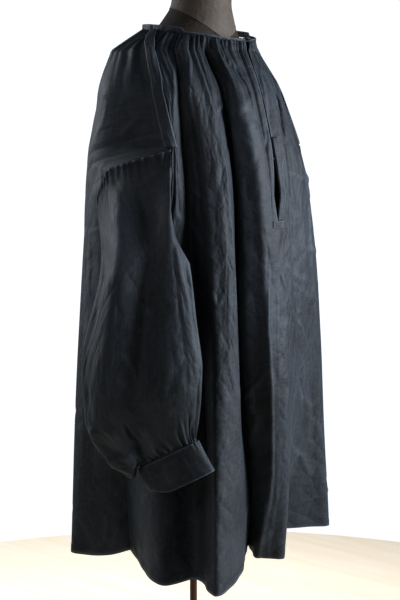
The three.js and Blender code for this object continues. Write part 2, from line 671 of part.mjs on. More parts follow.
buildPanels();
buildShoulderStrips();
buildPlacket();
for (const sleeve of [RIGHT_SLEEVE, LEFT_SLEEVE]) {
  buildSleeve(sleeve);
  buildCuff(sleeve);
}
buildForm();
buildStand();

// The origin is on the floor, under the middle of the whole object's box.
const box = new THREE.Box3().setFromObject(object, true);
const middle = box.getCenter(new THREE.Vector3());
object.position.set(-middle.x, -middle.y, -box.min.z);

export default object;
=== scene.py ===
"""Dark linen smock frock on a limbless dress form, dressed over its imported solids.

The solids' own tables are repeated here in millimetres, so that every piece of cloth lies on its
solid. The wearer faces -Y, the wearer's right is -X, and the floor is at Z = 0.
"""

import logging
import math
from dataclasses import dataclass, field, replace
from enum import Enum
from typing import Sequence

import bmesh
import bpy
import numpy as np
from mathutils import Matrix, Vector


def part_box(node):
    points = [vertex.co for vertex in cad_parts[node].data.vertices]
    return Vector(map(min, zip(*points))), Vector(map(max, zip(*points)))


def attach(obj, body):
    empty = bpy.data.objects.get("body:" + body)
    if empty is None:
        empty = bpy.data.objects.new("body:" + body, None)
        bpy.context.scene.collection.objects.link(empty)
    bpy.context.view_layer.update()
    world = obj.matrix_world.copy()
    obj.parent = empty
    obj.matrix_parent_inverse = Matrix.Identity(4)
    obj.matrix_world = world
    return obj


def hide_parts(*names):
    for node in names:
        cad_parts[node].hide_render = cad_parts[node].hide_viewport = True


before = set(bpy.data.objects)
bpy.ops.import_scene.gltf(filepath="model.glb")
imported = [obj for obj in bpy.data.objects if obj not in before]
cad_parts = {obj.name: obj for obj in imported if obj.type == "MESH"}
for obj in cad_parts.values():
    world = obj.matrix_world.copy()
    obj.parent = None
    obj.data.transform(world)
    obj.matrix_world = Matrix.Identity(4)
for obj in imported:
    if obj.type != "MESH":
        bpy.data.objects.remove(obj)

Array = np.ndarray
Pair = tuple[float, float]
Piece = bpy.types.Object
Tree = bpy.types.NodeTree
Socket = bpy.types.NodeSocket

LOG = logging.getLogger("smock")
MM = 0.001
FRAME_PIXELS = (400, 600)


@dataclass(frozen=True)
class Fold:
    """One crest or valley of a panel, or one of its edges.

    angles are in degrees round the body at the neck, yoke, chest, hip and hem, and radii in
    millimetres at the shoulder, yoke, chest, hip, cuff level and hem. rise lifts the hem.
    """

    name: str
    rise: float
    angles: Sequence[float]
    radii: Sequence[float]


@dataclass(frozen=True)
class Edge:
    """Angle of the front's and the back's edge at a height, and what the left side has more."""

    z: float
    front: float
    back: float
    left: float = 0.0


@dataclass(frozen=True)
class Oval:
    """A level oval of a hanging sleeve: its middle out to the side and forward, and half sizes."""

    z: float
    out: float
    forward: float
    half_length: float
    half_width: float


@dataclass(frozen=True)
class FormOval:
    """A level oval of the dress form, with its half sizes and how far forward its middle is."""

    z: float
    half_wide: float
    half_deep: float
    forward: float


@dataclass(frozen=True)
class Crease:
    """A soft groove or ridge that lies on a piece of cloth.

    path runs through (across, z) points of the piece. width and height are in millimetres, and
    a height below zero is a groove.
    """

    name: str
    width: float
    height: float
    path: Sequence[Pair]


NECK_Z = 1486.0
NECK_DIP = 24.0
NECK_RADIUS = 105.0
NECK_FORWARD = 15.0
SHOULDER_Z = 1445.0
SHOULDER_END_Z = 1270.0
UNDERARM_Z = 1005.0
HEM_Z = 480.0
HEM_RISE_Z = 900.0
HEM_TURN = 16.0
SLIT_END_Z = 1140.0
SLIT_FOLD = 8.0
SLIT_SAMPLE = 0.2  # folds to each side of the slit, between which its direction is taken
SLIT_FALL = 1.25  # how fast the drawn-back edge runs out, for each fold away from the slit
LAST_FRONT_FOLD = 15
LAST_BACK_FOLD = 10
PLACKET_TOP_Z = 1290.0
PLACKET_WIDTH = 12.0
STRIP_WIDTH = 20.0
ANGLE_HEIGHTS = (NECK_Z, 1360.0, 1200.0, 900.0, HEM_Z)
RADIUS_HEIGHTS = (SHOULDER_Z, 1360.0, 1200.0, 900.0, 690.0, HEM_Z)

FRONT_FOLDS = (
    Fold("right seam", 8, (100, 66, 61, 93, 121), (164, 208, 232, 178, 156, 130)),
    Fold("right side crest", 0, (87, 61, 56.5, 70, 64), (154, 206, 226, 194, 202, 228)),
    Fold("sleeve front valley", 0, (75, 56, 51, 49, 48), (145, 194, 202, 186, 184, 188)),
    Fold("right front crest", -6, (63, 49, 43, 40, 41), (148, 192, 224, 236, 250, 264)),
    Fold("right front flank", 0, (53, 40, 33, 30, 24), (141, 184, 220, 231, 220, 196)),
    Fold("deep front valley", 12, (43, 31, 25, 20, -25), (128, 166, 166, 148, 134, 112)),
    Fold("centre right crest", 4, (31, 22, 17, 12, -7), (136, 184, 213, 222, 196, 145)),
    Fold("centre right slope", 3, (12, 13, 11, 9, -10), (126, 180, 214, 224, 204, 154)),
    Fold("centre front", 2, (-6, 5, 5.5, 6, -12.5), (126, 178, 215, 225, 208, 164)),
    Fold("centre left crest", 0, (-15, -4, -2, -1, -18), (125, 180, 217, 226, 212, 188)),
    Fold("placket valley", 4, (-25, -12, -9, -13, -40), (119, 168, 203, 213, 194, 168)),
    Fold("left front slope", 12, (-36, -23, -21, -32, -61), (122, 174, 213, 226, 206, 172)),
    Fold("left front crest", 6, (-50, -38, -40, -50, -64), (122, 163, 218, 254, 277, 306)),
    Fold("left front valley", 16, (-65, -50, -51, -61, -70), (134, 168, 205, 230, 244, 264)),
    Fold("left side crest", 30, (-84, -60, -57, -72, -75), (148, 183, 217, 208, 250, 338)),
    Fold("left seam", 20, (-100, -66, -61, -93, -112), (160, 195, 226, 182, 166, 150)),
)
BACK_FOLDS = (
    Fold("left seam", 20, (-100, -66, -98, -93, -112), (160, 195, 226, 182, 166, 150)),
    Fold("left shoulder ridge", 20, (-110, -90, -106, -106, -122), (168, 222, 222, 200, 194, 188)),
    Fold("left back crest", 22, (-124, -112, -120, -126, -134), (146, 190, 210, 222, 236, 250)),
    Fold("left back valley", 20, (-139, -132, -136, -141, -149), (134, 164, 184, 196, 182, 164)),
    Fold("back left crest", 16, (-155, -150, -153, -157, -164), (124, 152, 182, 206, 220, 234)),
    Fold("centre back valley", 16, (-171, -169, -171, -173, -178), (117, 142, 167, 184, 176, 166)),
    Fold("back right crest", 12, (-188, -187, -188, -189, -191), (116, 144, 172, 198, 212, 226)),
    Fold("right back valley", 8, (-205, -205, -205, -205, -206), (124, 154, 182, 192, 172, 147)),
    Fold("right back crest", 0, (-222, -226, -225, -225, -227), (142, 170, 198, 221, 233, 242)),
    Fold("right shoulder ridge", 0, (-246, -266, -251, -252, -237), (168, 222, 220, 198, 186, 176)),
    Fold("right seam", 8, (-260, -294, -262, -267, -239), (164, 208, 232, 178, 156, 130)),
)
EDGES = (
    Edge(NECK_Z, 100, 100),
    Edge(1445, 77, 77),
    Edge(1392, 69, 69),
    Edge(1346, 65, 65),
    Edge(1270, 59.4, 59.4),
    Edge(1235, 60, 90),
    Edge(1185, 62, 97),
    Edge(1090, 71, 95),
    Edge(1045, 79, 91),
    Edge(1005, 86, 86),
    Edge(900, 93, 93),
    Edge(700, 105, 105, -4),
    Edge(HEM_Z, 121, 121, -9),
)
SLIT_OPENING = ((SLIT_END_Z, 0), (1185, 15), (1235, 7), (1270, 3), (1410, 3), (1445, 5), (NECK_Z, 11))
SLEEVE_OVALS = (
    Oval(1280, 232, 84, 54, 26),
    Oval(1180, 238, 92, 60, 36),
    Oval(1100, 244, 93, 72, 42),
    Oval(1000, 249, 92, 90, 46),
    Oval(880, 253, 91, 110, 50),
    Oval(790, 252, 94, 108, 48),
    Oval(740, 248, 96, 92, 42),
    Oval(690, 244, 98, 72, 34),
)
FORM_OVALS = (
    FormOval(1602, 46, 48, 26),
    FormOval(1590, 52, 54, 25),
    FormOval(1535, 56, 57, 20),
    FormOval(1505, 68, 68, 12),
    FormOval(1480, 92, 76, 4),
    FormOval(1455, 134, 82, -4),
    FormOval(1430, 171, 88, -6),
    FormOval(1400, 182, 96, -4),
    FormOval(1360, 184, 104, 0),
    FormOval(1300, 164, 112, 6),
    FormOval(1220, 148, 118, 10),
    FormOval(1130, 126, 100, 8),
    FormOval(1050, 112, 90, 6),
    FormOval(960, 142, 108, 2),
    FormOval(880, 158, 116, 0),
    FormOval(830, 156, 112, 0),
    FormOval(800, 142, 100, 0),
)


def smoothstep(x: Array, low: float, high: float) -> Array:
    """Return 0 below low, 1 above high and an even S between them."""
    t = np.clip((np.asarray(x, float) - low) / (high - low), 0, 1)
    return t * t * (3 - 2 * t)


def smooth_values(heights: Sequence[float], values: Sequence[float], z: Array) -> Array:
    """Follow a short table smoothly, with no overshoot between its rows.

    Args:
        heights: falling heights of the table.
        values: the value at each height.
        z: the heights that are asked for.

    Returns:
        The value at each z, held level past both ends.
    """
    h, v = np.asarray(heights, float), np.asarray(values, float)
    slope = np.diff(v) / np.diff(h)
    product, total = slope[:-1] * slope[1:], slope[:-1] + slope[1:]
    inner = np.where(product > 0, 2 * product / np.where(total == 0, 1, total), 0)
    tangent = np.concatenate([slope[:1], inner, slope[-1:]])
    level = np.clip(z, h[-1], h[0])
    i = np.clip(np.searchsorted(-h, -level, side="right") - 1, 0, len(h) - 2)
    span = h[i + 1] - h[i]
    u = (level - h[i]) / span
    start = (1 + 2 * u) * (1 - u) ** 2 * v[i] + u * (1 - u) ** 2 * span * tangent[i]
    end = u * u * (3 - 2 * u) * v[i + 1] + u * u * (u - 1) * span * tangent[i + 1]
    return start + end


def straight_values(heights: Sequence[float], values: Sequence[float], z: Array) -> Array:
    """Follow a short table by straight lines between its rows."""
    h, v = np.asarray(heights, float), np.asarray(values, float)
    order = np.argsort(h)
    return np.interp(z, h[order], v[order])


def body_points(angle: Array, radius: Array, z: Array) -> Array:
    """Return points at angles and radii round the body, in millimetres."""
    a = np.radians(angle)
    return np.stack([-radius * np.sin(a), -radius * np.cos(a), z + 0 * a], axis=-1)


def neck_points(angle: Array) -> Array:
    """Return points of the neckline, a ring that dips in front.

    Args:
        angle: degrees round the body.

    Returns:
        Points of shape (len(angle), 3).
    """
    forward = (1 + np.cos(np.radians(angle))) / 2
    points = body_points(angle, NECK_RADIUS + 0 * angle, NECK_Z - NECK_DIP * forward**2)
    points[..., 1] -= NECK_FORWARD
    return points


def curve_through(keys: Array, u: Array) -> Array:
    """Sample a smooth curve that passes through key points.

    Args:
        keys: points of shape (rows, keys, 3).
        u: positions from 0 to the number of keys less one.

    Returns:
        Points of shape (rows, len(u), 3).
    """
    first = 2 * keys[:, :1] - keys[:, 1:2]
    last = 2 * keys[:, -1:] - keys[:, -2:-1]
    p = np.concatenate([first, keys, last], axis=1)
    i = np.clip(np.floor(u).astype(int), 0, keys.shape[1] - 2)
    w = (u - i)[None, :, None]
    p0, p1, p2, p3 = (p[:, i + k] for k in range(4))
    step = np.sqrt(np.linalg.norm(np.diff(p, axis=1), axis=2))[..., None]
    d0, d1, d2 = (np.maximum(step[:, i + k], 1e-6) for k in range(3))
    t1 = ((p1 - p0) / d0 - (p2 - p0) / (d0 + d1) + (p2 - p1) / d1) * d1
    t2 = ((p2 - p1) / d1 - (p3 - p1) / (d1 + d2) + (p3 - p2) / d2) * d1
    return p1 + t1 * w + (3 * (p2 - p1) - 2 * t1 - t2) * w**2 + (2 * (p1 - p2) + t1 + t2) * w**3


def grid_normals(points: Array, outward: float = 1.0) -> Array:
    """Work out unit normals, from the directions down and along a grid.

    Args:
        points: points of shape (rows, columns, 3).
        outward: 1 or -1, whichever lets the normals face out.

    Returns:
        Normals of the same shape.
    """
    down, along = np.gradient(points, axis=0), np.gradient(points, axis=1)
    normal = np.cross(down, along) * outward
    length = np.linalg.norm(normal, axis=-1, keepdims=True)
    return normal / np.maximum(length, TINY)


def lengths_along(points: Array) -> Array:
    """Return how far along each point of a row is from the row's start."""
    steps = np.linalg.norm(np.diff(points, axis=0), axis=-1)
    return np.concatenate([[0.0], np.cumsum(steps)])


def point_along(points: Array, length: Array) -> Array:
    """Return points at given lengths along a row of points."""
    travelled = lengths_along(points)
    return np.stack([np.interp(length, travelled, points[:, k]) for k in range(3)], axis=-1)


@dataclass(frozen=True)
class PanelCut:
    """The cut and hang of the front or the back panel, as its own solid has them."""

    edge: str
    folds: Sequence[Fold]

    def fold_angle(self, index: int, z: Array) -> Array:
        """Return the angle of one fold row at each height.

        Args:
            index: the fold's place in the table. The first and the last follow the seams.
            z: the heights.

        Returns:
            Degrees round the body, one for each height.
        """
        fold = self.folds[index]
        if 0 < index < len(self.folds) - 1:
            return smooth_values(ANGLE_HEIGHTS, fold.angles, z)
        heights = [row.z for row in EDGES]
        edge = straight_values(heights, [getattr(row, self.edge) for row in EDGES], z)
        if fold.name == "left seam":
            return -edge - straight_values(heights, [row.left for row in EDGES], z)
        return edge - 360 if self.edge == "back" else edge

    def fold_points(self, index: int, z: Array) -> Array:
        """Return one fold row's points. Above the shoulder it goes to the neckline.

        Args:
            index: the fold's place in the table.
            z: the heights, before the hem's rise is added.

        Returns:
            Points of shape (len(z), 3), in millimetres.
        """
        fold = self.folds[index]
        angle = self.fold_angle(index, z)
        height = np.minimum(z, SHOULDER_Z) + fold.rise * (1 - smoothstep(z, HEM_Z, HEM_RISE_Z))
        below = body_points(angle, smooth_values(RADIUS_HEIGHTS, fold.radii, z), height)
        share = np.maximum(0, (z - SHOULDER_Z) / (NECK_Z - SHOULDER_Z))[:, None]
        return below * (1 - share) + neck_points(angle) * share

    def section(self, u: Array, z: Array) -> Array:
        """Return the panel's middle surface at fold positions u and heights z."""
        keys = np.stack([self.fold_points(k, z) for k in range(len(self.folds))], axis=1)
        return curve_through(keys, u)


FRONT = PanelCut("front", FRONT_FOLDS)
BACK = PanelCut("back", BACK_FOLDS)


def front_half(u: Array, z: Array, sign: float) -> Array:
    """Return half of the front, with its edge drawn back from the slit.

    Args:
        u: fold positions, up to the slit's on the wearer's right half and from it on the left.
        z: heights of the rows.
        sign: 1 for the wearer's right half, -1 for the left.

    Returns:
        Points of shape (len(z), len(u), 3).
    """
    points = FRONT.section(u, z)
    beside = FRONT.section(np.array([SLIT_FOLD - SLIT_SAMPLE, SLIT_FOLD + SLIT_SAMPLE]), z)
    along = beside[:, 1] - beside[:, 0]
    along /= np.linalg.norm(along, axis=1, keepdims=True)
    heights, widths = zip(*SLIT_OPENING)
    opening = np.where(z > SLIT_END_Z, straight_values(heights, widths, z), 0) / 2
    share = np.maximum(0, 1 - np.abs(u - SLIT_FOLD) * SLIT_FALL)
    return points - sign * along[:, None] * opening[:, None, None] * share[None, :, None]


CLOTH_THICKNESS = 1.2
WELD_GAP = 0.02
LAY = 1.8  # from the middle of a panel to the middle of what is sewn on it
EDGE_WEAR = 0.8  # how far a worn edge fades the dye
RIPPLE_WAVES = 7  # waves that make up one rippled surface
RIPPLE_LEVEL = 3  # brings their sum down to about the height that is asked for
NO_GAP = 1e9  # millimetres, more than any gap to a crease
TINY = 1e-9  # keeps lengths from being nothing before a division


@dataclass(frozen=True)
class Pressing:
    """How a crease is pressed in, in shares of its length and multiples of its width.

    wear is how far a worn crest fades the dye, growing up to wear_height millimetres.
    """

    samples: int = 12
    reach: float = 3.0
    full_from: float = 0.18
    fades_from: float = 0.8
    evenness: float = 0.85
    unevenness: float = 0.15
    waves: float = 9.0
    wear: float = 0.10
    wear_height: float = 1.5


@dataclass(frozen=True)
class WornCreases:
    """How small scattered creases vary. slants are in radians and widths in millimetres."""

    margin_cells: int = 4
    least_length_share: float = 0.15
    least_depth_share: float = 0.3
    widths: Pair = (3.2, 6.5)
    slants: tuple[float, ...] = (0.0, 0.35, -0.35)
    bend: float = 0.12


PRESSING = Pressing()
WORN_CREASES = WornCreases()


@dataclass(frozen=True)
class Gathers:
    """A row of uneven gathers that run down from a gathered edge.

    Sizes are in millimetres. spacing and unevenness place the crests along the edge. Each gather
    has its own depth and length, no less than the least shares, leans a little, keeps its full
    depth for the first share of its length and widens with the cloth.
    """

    spacing: float
    unevenness: float
    depth: float
    length: float
    seed: int
    least_depth_share: float = 0.35
    least_length_share: float = 0.25
    lean: float = 0.012
    full_share: float = 0.2
    widening: float = 0.35

    def height(self, along: Array, down: Array, spread: Array) -> Array:
        """Return how far the gathers lift the cloth.

        Args:
            along: distance along the gathered edge, for each column.
            down: distance below that edge, for each row and column.
            spread: how much wider the cloth is there than at the edge.

        Returns:
            Heights in millimetres for each row and column.
        """
        rng = np.random.default_rng(self.seed)
        total = np.zeros(down.shape)
        place = float(along.min()) - self.spacing
        sign = 1.0
        while place < along.max() + self.spacing:
            step = self.spacing * (1 + self.unevenness * rng.uniform(-1, 1))
            depth = self.depth * rng.uniform(self.least_depth_share, 1.0)
            length = self.length * rng.uniform(self.least_length_share, 1.0)
            lean = rng.uniform(-self.lean, self.lean)
            offset = (along[None, :] - place) * spread**self.widening + lean * down
            bump = np.exp(-((offset / (step / 2)) ** 2))
            total += sign * depth * bump * (1 - smoothstep(down, self.full_share * length, length))
            sign = -sign
            place += step
        return total


def cell_size(before: Array, after: Array, cells: int, least: float = 0.5) -> float:
    """Return the mean size of the cells between two points, kept from being nothing."""
    return max(float(np.linalg.norm(after - before)), least) / cells


@dataclass
class ClothGrid:
    """A grid of cloth points with its own flat coordinates and wear.

    rows and columns are the values that creases are placed by, such as heights and fold
    positions. points and normals have the shape (rows, columns, 3), in millimetres.
    """

    points: Array
    rows: Array
    columns: Array
    outward: float = 1.0
    widest_row: int = 0
    wraps: bool = False
    lift: Array = field(init=False)
    normals: Array = field(init=False)
    wear: Array = field(init=False)

    def __post_init__(self) -> None:
        """Work out the normals of the smooth surface."""
        self.normals = grid_normals(self.points, self.outward)
        self.lift = np.zeros(self.points.shape[:2])
        self.wear = np.zeros(self.points.shape[:2])

    def flat(self) -> Array:
        """Return the cut cloth's coordinates in metres, along its widest row and down its middle."""
        across = lengths_along(self.points[self.widest_row])
        down = lengths_along(self.points[:, self.points.shape[1] // 2])
        across_grid, down_grid = np.meshgrid(across, -down)
        return np.stack([across_grid, down_grid], axis=-1) * MM

    def at(self, across: Array, down: Array) -> Array:
        """Return points between those of the grid.

        Args:
            across: column values, which wrap round where the grid does.
            down: row values.

        Returns:
            Points of the smooth surface, shape (len(across), 3).
        """
        rising = self.rows[0] < self.rows[-1]
        order = slice(None) if rising else slice(None, None, -1)
        rows, points = self.rows[order], self.points[order]
        across = across % 1.0 if self.wraps else across
        i = np.interp(down, rows, np.arange(len(rows)))
        j = np.interp(across, self.columns, np.arange(len(self.columns)))
        i0, j0 = np.floor(i).astype(int), np.floor(j).astype(int)
        i1, j1 = np.minimum(i0 + 1, len(rows) - 1), np.minimum(j0 + 1, len(self.columns) - 1)
        a, b = (i - i0)[:, None], (j - j0)[:, None]
        upper = points[i0, j0] * (1 - b) + points[i0, j1] * b
        lower = points[i1, j0] * (1 - b) + points[i1, j1] * b
        return upper * (1 - a) + lower * a

    def add_crease(self, crease: Crease) -> None:
        """Press one crease into the cloth, tapered at both ends.

        Args:
            crease: the groove or ridge.
        """
        path = np.asarray(crease.path, float)
        share = np.linspace(0, len(path) - 1, PRESSING.samples * (len(path) - 1) + 1)
        keys = np.arange(len(path))
        line = self.at(np.interp(share, keys, path[:, 0]), np.interp(share, keys, path[:, 1]))
        reach = PRESSING.reach * crease.width
        low, high = line.min(axis=0) - reach, line.max(axis=0) + reach
        near = np.all((self.points >= low) & (self.points <= high), axis=-1)
        if not near.any():
            return
        points = self.points[near]
        start, step = line[:-1], np.diff(line, axis=0)
        best = np.full(len(points), NO_GAP)
        place = np.zeros(len(points))
        for k, (origin, edge) in enumerate(zip(start, step)):
            size = max(float(edge @ edge), TINY)
            t = np.clip((points - origin) @ edge / size, 0, 1)
            gap = np.linalg.norm(points - origin - t[:, None] * edge, axis=1)
            closer = gap < best
            best[closer] = gap[closer]
            place[closer] = (k + t[closer]) / len(step)
        taper = smoothstep(place, 0, PRESSING.full_from) * (1 - smoothstep(place, PRESSING.fades_from, 1.0))
        wave = np.sin(PRESSING.waves * place + crease.width)
        uneven = PRESSING.evenness + PRESSING.unevenness * wave
        bump = np.exp(-((best / crease.width) ** 2)) * taper * uneven
        self.lift[near] += crease.height * bump
        if crease.height > 0:
            self.wear[near] += PRESSING.wear * bump * min(crease.height, PRESSING.wear_height)

    def scatter(
        self, count: int, longest: float, seed: int, steep: float = 0.55, deepest: float = 2.0
    ) -> None:
        """Add small storage and wearing creases of uneven length and depth.

        Args:
            count: how many creases.
            longest: the longest crease in millimetres.
            seed: keeps them the same each time.
            steep: 0 lets them lie any way, 1 keeps them nearly upright.
            deepest: the deepest crease in millimetres.
        """
        kind = WORN_CREASES
        rng = np.random.default_rng(seed)
        rows, columns = self.points.shape[:2]
        for _ in range(count):
            i = int(rng.integers(kind.margin_cells, rows - kind.margin_cells))
            j = int(rng.integers(kind.margin_cells, columns - kind.margin_cells))
            across_mm = cell_size(self.points[i, j - 2], self.points[i, j + 2], 4)
            down_mm = cell_size(self.points[i - 2, j], self.points[i + 2, j], 4)
            length = longest * rng.uniform(kind.least_length_share, 1.0)
            turn = rng.uniform(-1, 1) * (1 - steep) * math.pi / 2 + rng.choice(kind.slants)
            run_across, run_down = length * math.sin(turn) / across_mm, length * math.cos(turn) / down_mm
            bend = rng.uniform(-kind.bend, kind.bend) * length / across_mm
            spots = [(j, i), (j + run_across / 2 + bend, i + run_down / 2), (j + run_across, i + run_down)]
            path = tuple(
                (
                    float(np.interp(across, np.arange(columns), self.columns)),
                    float(np.interp(down, np.arange(rows), self.rows)),
                )
                for across, down in spots
            )
            height = rng.choice([-1.0, 1.0]) * deepest * rng.uniform(kind.least_depth_share, 1.0)
            self.add_crease(Crease("worn crease", rng.uniform(*kind.widths), height, path))

    def add_ripples(self, height: float, across_mm: float, down_mm: float, seed: int) -> None:
        """Add broad uneven ripples, longer down the cloth than across it.

        Args:
            height: about how high they are, in millimetres.
            across_mm: about how far apart they are across the cloth.
            down_mm: about how far apart they are down it.
            seed: keeps them the same each time.
        """
        rng = np.random.default_rng(seed)
        flat = self.flat() / MM
        total = np.zeros(self.lift.shape)
        for _ in range(RIPPLE_WAVES):
            wave, drop = across_mm * rng.uniform(0.6, 1.6), down_mm * rng.uniform(0.6, 1.8)
            turn = 2 * math.pi * (flat[..., 0] / wave + rng.choice([-1, 1]) * flat[..., 1] / drop)
            total += np.sin(turn + rng.uniform(0, 2 * math.pi)) * rng.uniform(0.4, 1.0)
        self.lift += height * total / RIPPLE_LEVEL

    def worn_edges(self, reach: float, sides: Sequence[str]) -> None:
        """Fade the cloth beside its worn edges.

        Args:
            reach: how far the wear runs in, in millimetres.
            sides: names of the edges: top, bottom, start or end.
        """
        down = np.stack([lengths_along(self.points[:, j]) for j in range(self.points.shape[1])], axis=1)
        along = np.stack([lengths_along(row) for row in self.points])
        gaps = {
            "top": down,
            "bottom": down[-1:] - down,
            "start": along,
            "end": along[:, -1:] - along,
        }
        for side in sides:
            self.wear += EDGE_WEAR * np.exp(-((gaps[side] / reach) ** 2))

    def finished(self) -> Array:
        """Return the points with every gather, crease and ripple on them."""
        return self.points + self.normals * self.lift[..., None]


def hex_linear(colour: str) -> tuple[float, float, float, float]:
    """Turn an sRGB hex colour into the linear one that Blender takes."""
    parts = [int(colour.lstrip("#")[k : k + 2], 16) / 255 for k in (0, 2, 4)]
    linear = [c / 12.92 if c <= 0.04045 else ((c + 0.055) / 1.055) ** 2.4 for c in parts]
    return (linear[0], linear[1], linear[2], 1.0)


def add_node(
    tree: Tree,
    kind: str,
    settings: dict[str, object] | None = None,
    links: dict[str | int, object] | None = None,
) -> bpy.types.Node:
    """Add one node with its settings and links.

    Args:
        tree: the node tree.
        kind: Blender's name for the node.
        settings: node properties, or input values whose key starts with "in:".
        links: output sockets that feed the named or numbered inputs.

    Returns:
        The new node.
    """
    node = tree.nodes.new(kind)
    for key, value in (settings or {}).items():
        if key.startswith("in:"):
            name = key[3:]
            node.inputs[int(name) if name.isdigit() else name].default_value = value
        else:
            setattr(node, key, value)
    for key, socket in (links or {}).items():
        tree.links.new(socket, node.inputs[key])
    return node


def new_material(name: str) -> tuple[bpy.types.Material, Tree]:
    """Make an empty node material.

    Args:
        name: the material's name.

    Returns:
        The material and its tree.
    """
    material = bpy.data.materials.new(name)
    material.use_nodes = True
    material.node_tree.nodes.clear()
    return material, material.node_tree


def close_material(tree: Tree, shader: bpy.types.Node) -> None:
    """Join a shader to the material's output."""
    add_node(tree, "ShaderNodeOutputMaterial", links={"Surface": shader.outputs[0]})


def noise(tree: Tree, place: Socket, settings: dict[str, object]) -> Socket:
    """Return the height of a noise at a place, with settings as add_node takes them."""
    return add_node(tree, "ShaderNodeTexNoise", settings, {"Vector": place}).outputs["Fac"]


def ranged(tree: Tree, value: Socket, settings: dict[str, object]) -> Socket:
    """Return a value brought into another range, with settings as add_node takes them."""
    return add_node(tree, "ShaderNodeMapRange", settings, {"Value": value}).outputs[0]


def stretched(tree: Tree, place: Socket, scale: Sequence[float]) -> Socket:
    """Return coordinates multiplied by a scale."""
    return add_node(tree, "ShaderNodeMapping", {"in:Scale": scale}, {"Vector": place}).outputs[0]


def mixed(tree: Tree, share: float, first: Socket, second: Socket) -> Socket:
    """Return two values mixed, with a share of the second."""
    return add_node(tree, "ShaderNodeMix", {"in:0": share}, {2: first, 3: second}).outputs[0]


def mixed_colour(tree: Tree, share: Socket, first: str, second: str) -> Socket:
    """Return two hex colours mixed, with a share of the second."""
    ends = {"data_type": "RGBA", "in:6": hex_linear(first), "in:7": hex_linear(second)}
    return add_node(tree, "ShaderNodeMix", ends, {0: share}).outputs[2]


def relief(
    tree: Tree, height: Socket, distance_mm: float, strength: float, below: Socket | None = None
) -> Socket:
    """Raise a surface in the look of its material."""
    links = {"Height": height} if below is None else {"Height": height, "Normal": below}
    settings = {"in:Strength": strength, "in:Distance": distance_mm * MM}
    return add_node(tree, "ShaderNodeBump", settings, links).outputs[0]


class ThreadLay(Enum):
    """Which of a cloth's threads show most, as the share of its look that the weft has."""

    WARP = 0.3
    EVEN = 0.5


BAND_TURN = 20  # radians that the band texture turns over one unit, at a scale of one
FLAT_NOISE = {"noise_dimensions": "2D"}


